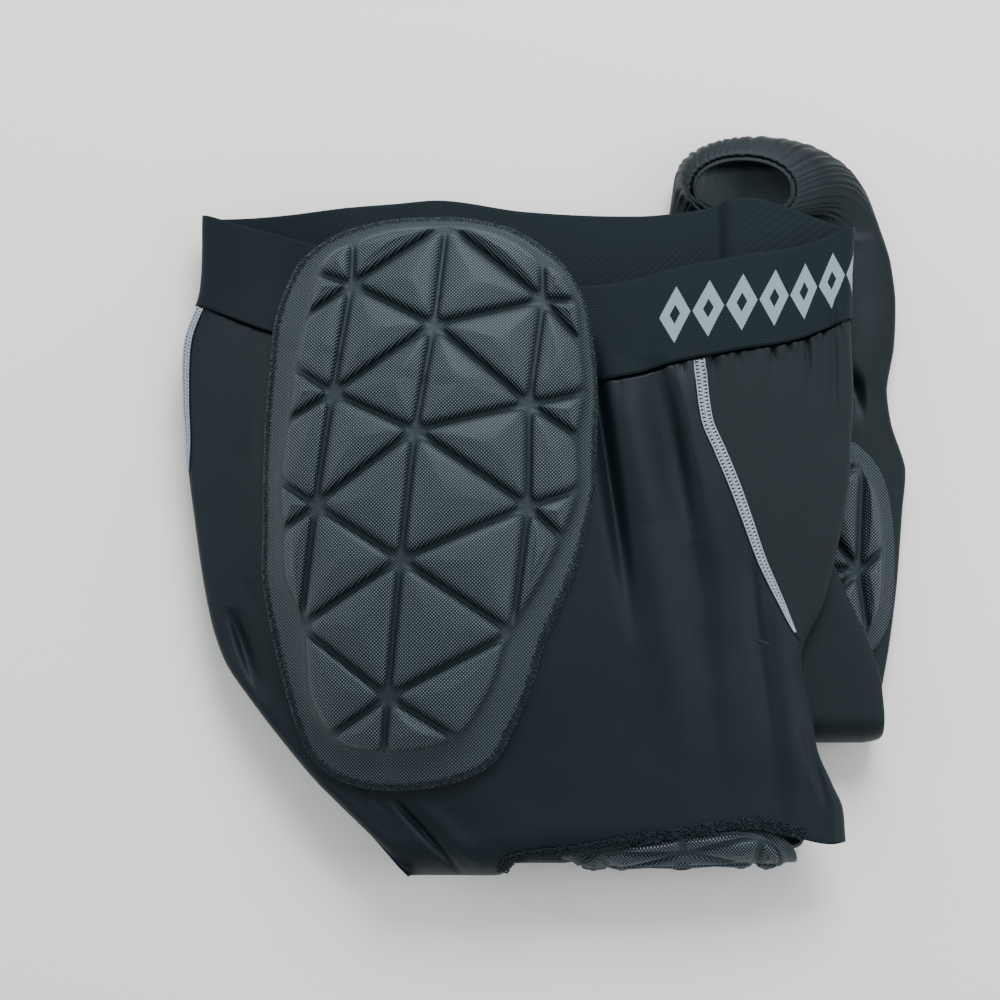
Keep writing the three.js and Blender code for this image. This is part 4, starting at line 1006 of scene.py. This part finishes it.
cuff_rows = [
    (0.835, 0.885, 0.54, 0.0, -0.475, 0.44, 0.2, 0.05),
    (0.846, 0.945, 0.62, 0.015, -0.46, 0.4, 0.5, 0.35),
    (0.846, 0.985, 0.72, 0.17, -0.45, 0.345, 0.8, 0.8),
    (0.84, 0.994, 0.82, 0.46, -0.445, 0.28, 0.95, 1.0),
    (0.832, 0.981, 0.93, 0.81, -0.43, 0.19, 1.0, 0.9),
    (0.825, 0.948, 1.0, 1.0, -0.41, 0.07, 1.0, 0.5),
]
for inner_along, outer_along, inner_up, outer_up, *rest in cuff_rows:
    inner_edge = [far_fold_y + inner_along * leg_reach, inner_up * cuff_height]
    outer_edge = [far_fold_y + outer_along * leg_reach, outer_up * cuff_height]
    sections.append(inner_edge + outer_edge + rest)
sections = np.array(sections)


def leg_tube(rows, centre_x, width, columns, steps, shrink, gathers, depth):
    middle = (rows[:, [0, 1]] + rows[:, [2, 3]]) / 2
    run = np.concatenate([[0], np.linalg.norm(np.diff(middle, axis=0), axis=1).cumsum()])
    run = run + np.arange(len(rows)) * 2.0
    at = np.linspace(0, run[-1], steps)
    settled = [np.interp(at, run, rows[:, k]) * 0.35 + read(run, rows[:, k], at) * 0.65 for k in range(8)]
    inner_y, inner_z, outer_y, outer_z, left, right, roundness, gather = np.stack(settled)[:, :, None]
    tall = np.hypot(inner_y - outer_y, inner_z - outer_z) / 2
    wide = (right - left) * width / 2
    turn = np.linspace(0, 1, columns + 1)[:-1][None, :]
    c, s = np.cos(2 * math.pi * turn), np.sin(2 * math.pi * turn)
    square = mix(0.55, 0.95, roundness)
    bent = turn + 0.012 * np.sin(2 * math.pi * 3 * turn) + 0.006 * np.sin(2 * math.pi * 7 * turn + 1)
    wave = np.abs(np.sin(math.pi * gathers * bent))
    wave = wave + 0.5 * np.abs(np.sin(math.pi * round(gathers * 1.6) * bent + 1))
    uneven = 0.75 + 0.3 * np.sin(2 * math.pi * 5 * turn + 2) * np.sin(2 * math.pi * 2 * turn)
    fold = gather * depth * uneven * (wave - 1.0)
    rise = np.minimum(np.where(square < 0.6, 1.15, 1.0) * np.abs(s) ** square, 1)
    across = np.sign(c) * (np.abs(c) ** square * (wide - shrink)) + c * fold
    up = np.sign(s) * rise * (tall - shrink) + s * fold
    x = centre_x + (left + right) * width / 2 + across
    y = (inner_y + outer_y) / 2 + (inner_y - outer_y) / (2 * tall) * up
    z = (inner_z + outer_z) / 2 + (inner_z - outer_z) / (2 * tall) * up
    return np.stack([x, y, z], -1)


# The light lining colour is painted light inside the leg's opening.
leg_knit = knit_material("leg_interlock_knit", "#070d10", "#0c1518", painted_light_lining="#687578")
leg_grid = (far_leg_x, leg_width, 312, 154)
leg_outer = leg_tube(sections, *leg_grid, 0.0, 38, 1.25)
leg_inner = leg_tube(sections, *leg_grid, wall, 38, 1.25)
leg_x, leg_y, leg_z = np.moveaxis(leg_outer, -1, 0).copy()
leg_lift = 0.9 * ripples(leg_x, leg_y, 21, 38)
leg_lift = leg_lift * smooth((leg_z - 9) / 4) * smooth((leg_y - 20) / 30)
leg_lift = leg_lift * smooth((120 - leg_y) / 20)
fold_along = ((leg_x - 133) * 14 + (61 - leg_y) * 12) / 340
fold_off = ((leg_x - 133) * 12 - (61 - leg_y) * 14) / 18.4
pocket = 4.2 * np.exp(-np.where(fold_off > 0, fold_off / 3.4, fold_off / 7.0) ** 2)
pocket = pocket * smooth((fold_along + 0.3) / 0.4)
leg_lift = leg_lift - pocket * smooth((leg_z - 9) / 3) * (1 - smooth((leg_x - 139) / 6))
leg_outer[..., 2] += leg_lift
leg_inner[..., 2] += leg_lift
far_leg = sheet_mesh("far_leg_cloth", leg_outer, leg_inner, True, leg_knit)

# The lining is painted lighter than the knit, as painted light falling into the leg's opening. It stops short
# of the mouth, where the dark edge is turned in.
turned_in = 12
painted_light_inside = np.zeros((2, *leg_outer.shape[:2]))
painted_light_inside[1, :-turned_in] = 1.0
far_leg.data.attributes["inside"].data.foreach_set("value", painted_light_inside.ravel())
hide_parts("far_leg")
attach(far_leg, "root")

cuff_elastic = knit_material("cuff_elastic_tape", "#0b1012", "#13191b", wale=0.0016, grain=0.4)
tape_rows = np.array(
    [mix(sections[-3], sections[-2], 0.3), mix(sections[-3], sections[-2], 0.65), sections[-2], sections[-1]]
)
tape_outer = leg_tube(tape_rows, far_leg_x, leg_width, 160, 8, wall + 1.7, 1, 0.0)
tape_inner = leg_tube(tape_rows, far_leg_x, leg_width, 160, 8, wall + 2.7, 1, 0.0)
cuff_tape = sheet_mesh("far_cuff_elastic", tape_outer, tape_inner, True, cuff_elastic)
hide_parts("far_cuff_tape")
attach(cuff_tape, "root")


# Near leg: a flat tube of the same knit. It folds back at the knee too, and lies hidden under the
# body, with only its fold showing below the hem.
near_leg_height = body_floor - far_pad_seat - pad_height - pad_clearance - cloth_clearance
near_rows = [
    (0.235, 0.235, 1.0, 0.0, -0.26, 0.385), (0.45, 0.45, 1.0, 0.0, -0.29, 0.375),
    (0.65, 0.65, 1.0, 0.0, -0.3, 0.385), (0.805, 0.805, 1.0, 0.0, -0.3, 0.41),
    (0.84, 0.845, 1.0, 0.0, -0.31, 0.6), (0.88, 0.9, 0.98, 0.0, -0.32, 0.78),
    (0.905, 0.95, 0.98, 0.08, -0.31, 0.84), (0.92, 0.967, 1.02, 0.72, -0.29, 0.82),
]
near_sections = []
for inner_down, outer_down, inner_up, outer_up, left, right in near_rows:
    inner_edge = [waist_y - inner_down * body_length, inner_up * near_leg_height]
    outer_edge = [waist_y - outer_down * body_length, outer_up * near_leg_height]
    near_sections.append(inner_edge + outer_edge + [left, right, 0.0, 0.0])
near_sections = np.array(near_sections)
near_leg_outer = leg_tube(near_sections, body_x, body_width / 2, 160, 70, 0.0, 1, 0.0)
near_leg_inner = leg_tube(near_sections, body_x, body_width / 2, 160, 70, wall, 1, 0.0)
for layer in (near_leg_outer, near_leg_inner):
    bulge = smooth((layer[..., 0] + 36) / 14) * (1 - smooth((layer[..., 0] - 10) / 16))
    layer[..., 1] -= 4.0 * bulge * smooth((-138 - layer[..., 1]) / 10)
near_leg = sheet_mesh("near_leg_cloth", near_leg_outer, near_leg_inner, True, leg_knit)
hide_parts("near_leg")
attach(near_leg, "root")


# Sewing. A row of short thread loops runs along each seam: light grey ladder stitches on the front
# and back seams, and dark overlock loops round the hip pad and along the hem at the knee.
def thread_material(name, colour, depth=0.55):
    material, tree, shader = new_material(name)
    place = add_node(tree, "ShaderNodeTexCoord", {}).outputs["Object"]
    twist = add_node(tree, "ShaderNodeTexNoise", {"Scale": 1400.0, "Detail": 2.0, "Vector": place})
    tone = add_node(tree, "ShaderNodeValToRGB", {"Fac": twist})
    tone.color_ramp.elements[0].position = 0.3
    tone.color_ramp.elements[0].color = [c * depth for c in linear(colour)[:3]] + [1.0]
    tone.color_ramp.elements[1].color = linear(colour)
    bump = add_node(tree, "ShaderNodeBump", {"Strength": 0.4, "Distance": 0.0002, "Height": twist})
    finish = {"Roughness": 0.6, "Specular IOR Level": 0.3, "Specular Tint": linear("#cfe6f2")}
    fill(tree, shader, {"Base Color": tone, "Normal": bump, **finish})
    return material


def stitch_tree(material, radius, length):
    tree = bpy.data.node_groups.new("stitch_row", "GeometryNodeTree")
    for socket, kind in (("Geometry", "Geometry"), ("Thread radius", "Float"), ("Stitch length", "Float")):
        tree.interface.new_socket(socket, in_out="INPUT", socket_type="NodeSocket" + kind)
    tree.interface.new_socket("Geometry", in_out="OUTPUT", socket_type="NodeSocketGeometry")
    given = add_node(tree, "NodeGroupInput", {}).outputs
    size = {"Radius": given["Thread radius"], "Depth": given["Stitch length"]}
    tube = {"Vertices": 6, "Side Segments": 3, **size}
    tube = add_node(tree, "GeometryNodeMeshCylinder", tube, fill_type="NGON")
    laid = add_node(tree, "GeometryNodeInputNamedAttribute", {"Name": "laid"}, data_type="FLOAT_VECTOR")
    way = {"Vector": laid.outputs["Attribute"]}
    turned = add_node(tree, "FunctionNodeAlignRotationToVector", way, axis="Z")
    sized = add_node(tree, "GeometryNodeInputNamedAttribute", {"Name": "size"}, data_type="FLOAT")
    scale = add_node(tree, "ShaderNodeCombineXYZ", {0: 1.0, 1: 1.0, 2: sized.outputs["Attribute"]})
    inputs = {"Points": given["Geometry"], "Instance": tube, "Rotation": turned, "Scale": scale}
    placed = add_node(tree, "GeometryNodeInstanceOnPoints", inputs)
    real = add_node(tree, "GeometryNodeRealizeInstances", {"Geometry": placed})
    shaded = add_node(tree, "GeometryNodeSetShadeSmooth", {"Geometry": real})
    finished = add_node(tree, "GeometryNodeSetMaterial", {"Material": material, "Geometry": shaded})
    add_node(tree, "NodeGroupOutput", {"Geometry": finished})
    sockets = {item.name: item.identifier for item in tree.interface.items_tree if item.in_out == "INPUT"}
    return tree, {sockets["Thread radius"]: radius, sockets["Stitch length"]: length}


def stitch_row(name, centres, directions, material, radius, length, size=1.0):
    mesh = bpy.data.meshes.new(name + "_points")
    mesh.from_pydata(in_frame(centres).tolist(), [], [])
    laid = mesh.attributes.new("laid", "FLOAT_VECTOR", "POINT")
    laid.data.foreach_set("vector", np.asarray(directions, float).ravel())
    sizes = np.array(np.broadcast_to(size, len(centres)), float)
    mesh.attributes.new("size", "FLOAT", "POINT").data.foreach_set("value", sizes)
    holder = bpy.data.objects.new(name + "_points", mesh)
    bpy.context.scene.collection.objects.link(holder)
    tree, settings = stitch_tree(material, radius, length)
    modifier = holder.modifiers.new("stitches", "NODES")
    modifier.node_group = tree
    for identifier, value in settings.items():
        modifier[identifier] = value
    evaluated = holder.evaluated_get(bpy.context.evaluated_depsgraph_get())
    sewn = bpy.data.meshes.new_from_object(evaluated)
    sewn.name = name
    made = bpy.data.objects.new(name, sewn)
    bpy.context.scene.collection.objects.link(made)
    bpy.data.objects.remove(holder)
    return made


def along_run(at, run, values):
    return np.stack([np.interp(at, run, values[:, k]) for k in range(3)], -1)


def spaced(points, pitch):
    run = np.concatenate([[0], np.linalg.norm(np.diff(points, axis=0), axis=1).cumsum()])
    at = np.arange(pitch / 2, run[-1], pitch)
    place, ahead, behind = (along_run(at + shift, run, points) for shift in (0.0, 0.6, -0.6))
    along = ahead - behind
    return place, along / np.linalg.norm(along, axis=1, keepdims=True), at / run[-1]


def ladder_seam(name, node, turn_at, last, full, colour):
    top = 0.2
    for _ in range(60):
        top = mix(top, float(cloth_start(turn_at(top))), 0.3)
    down = np.linspace(top + 0.002, last, 500)
    turn = turn_at(down)
    normal = body_outward(turn, down)
    place, along, share = spaced(body_point(turn, down) + normal * 0.45, 0.82)
    up = along_run(share, np.linspace(0, 1, len(normal)), normal)
    side = np.cross(up, along)
    side = side / np.linalg.norm(side, axis=1, keepdims=True)
    wide = read([0.0, 0.45, 0.8, 0.93, 1.0], [1.0, 0.92, 0.66, 0.4, 0.12], share)
    swing = np.where(np.arange(len(share)) % 2 == 0, 0.16, -0.16)[:, None]
    rungs = stitch_row(name + "_rungs", place, side + along * swing, colour, 0.00034, full / 1000, wide)
    pieces = [rungs]
    for number, offset in enumerate((-0.46, 0.0, 0.46)):
        slope = along + side * (0.35, -0.3, 0.3)[number]
        line = place + side * (offset * full * wide)[:, None] + up * 0.25
        pieces.append(stitch_row(f"{name}_thread_{number}", line, slope, colour, 0.00026, 0.0011))
    for piece in pieces:
        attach(piece, "root")
    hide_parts(node)


seam_thread = thread_material("light_grey_polyester_thread", "#b4c2cc")
ladder_seam("front_seam_ladder", "front_seam", front_turn, 0.652, 5.0, seam_thread)
ladder_seam("back_seam_ladder", "back_seam", back_turn, 0.4, 3.8, seam_thread)

# The hem's loops lean to and fro, and short loose threads lie across them.
dark_thread = thread_material("dark_polyester_thread", "#2b3840", 0.04)
hem_share = np.linspace(0, 1, 500)
hem_turn = mix(0.096, 0.345, hem_share)
hem_inset = 2.4
hem_at_down = hem_down(hem_turn) - hem_inset / body_length
hem_line = body_point(hem_turn, hem_at_down)
hem_normal = body_outward(hem_turn, hem_at_down)
hem_place, hem_along, hem_at = spaced(hem_line + hem_normal * 0.5, 0.62)
hem_up = along_run(hem_at, hem_share, hem_normal)
hem_side = np.cross(hem_up, hem_along)
chance = np.random.default_rng(3)
hem_swing = np.where(np.arange(len(hem_at)) % 2 == 0, 0.4, -0.25)[:, None]
hem_swing = hem_swing + chance.uniform(-0.3, 0.3, (len(hem_at), 1))
hem_long = chance.uniform(0.8, 1.15, len(hem_at))
hem_way = hem_side + hem_swing * hem_along
hem_loops = stitch_row("hem_overlock", hem_place, hem_way, dark_thread, 0.00021, 0.0054, hem_long)
cross_count = 560
cross_at = chance.integers(0, len(hem_at), cross_count)
cross_place = hem_place[cross_at] + hem_side[cross_at] * chance.uniform(-2.5, 2.5, (cross_count, 1))
cross_place = cross_place + hem_up[cross_at] * 0.3
cross_way = hem_along[cross_at] + hem_side[cross_at] * chance.uniform(-0.9, 0.9, (cross_count, 1))
hem_cross = stitch_row("hem_cross_threads", cross_place, cross_way, dark_thread, 0.0002, 0.0019)
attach(hem_cross, "root")
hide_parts("hem_seam")
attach(hem_loops, "root")

# The loops round the hip pads bind the thin edge of the flange to the cloth.
for side, (carrier, _) in hip_pads.items():
    closed_loop = np.concatenate([hip_edges[side], hip_edges[side][:1]])
    outward = np.stack([np.gradient(closed_loop[:, 1]), -np.gradient(closed_loop[:, 0])], -1)
    outward = outward / np.linalg.norm(outward, axis=1, keepdims=True)
    line = carrier(*(closed_loop - outward * 1.5).T, 1.75)
    edge_in = carrier(*(closed_loop - outward * 3.0).T, 1.75)
    place, along, share = spaced(line, 0.6)
    across = along_run(share, np.linspace(0, 1, len(line)), line - edge_in)
    across = across / np.linalg.norm(across, axis=1, keepdims=True)
    chance = np.random.default_rng(5).uniform(-0.4, 0.4, (len(place), 2))
    swing = np.where(np.arange(len(place)) % 2 == 0, 0.6, -0.5)[:, None] + chance[:, :1]
    place = place + across * chance[:, 1:]
    name = "hip_overlock_" + side
    loops = stitch_row(name, place, across + swing * along, dark_thread, 0.0002, 0.0031, 1 + chance[:, 0])
    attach(loops, "root")
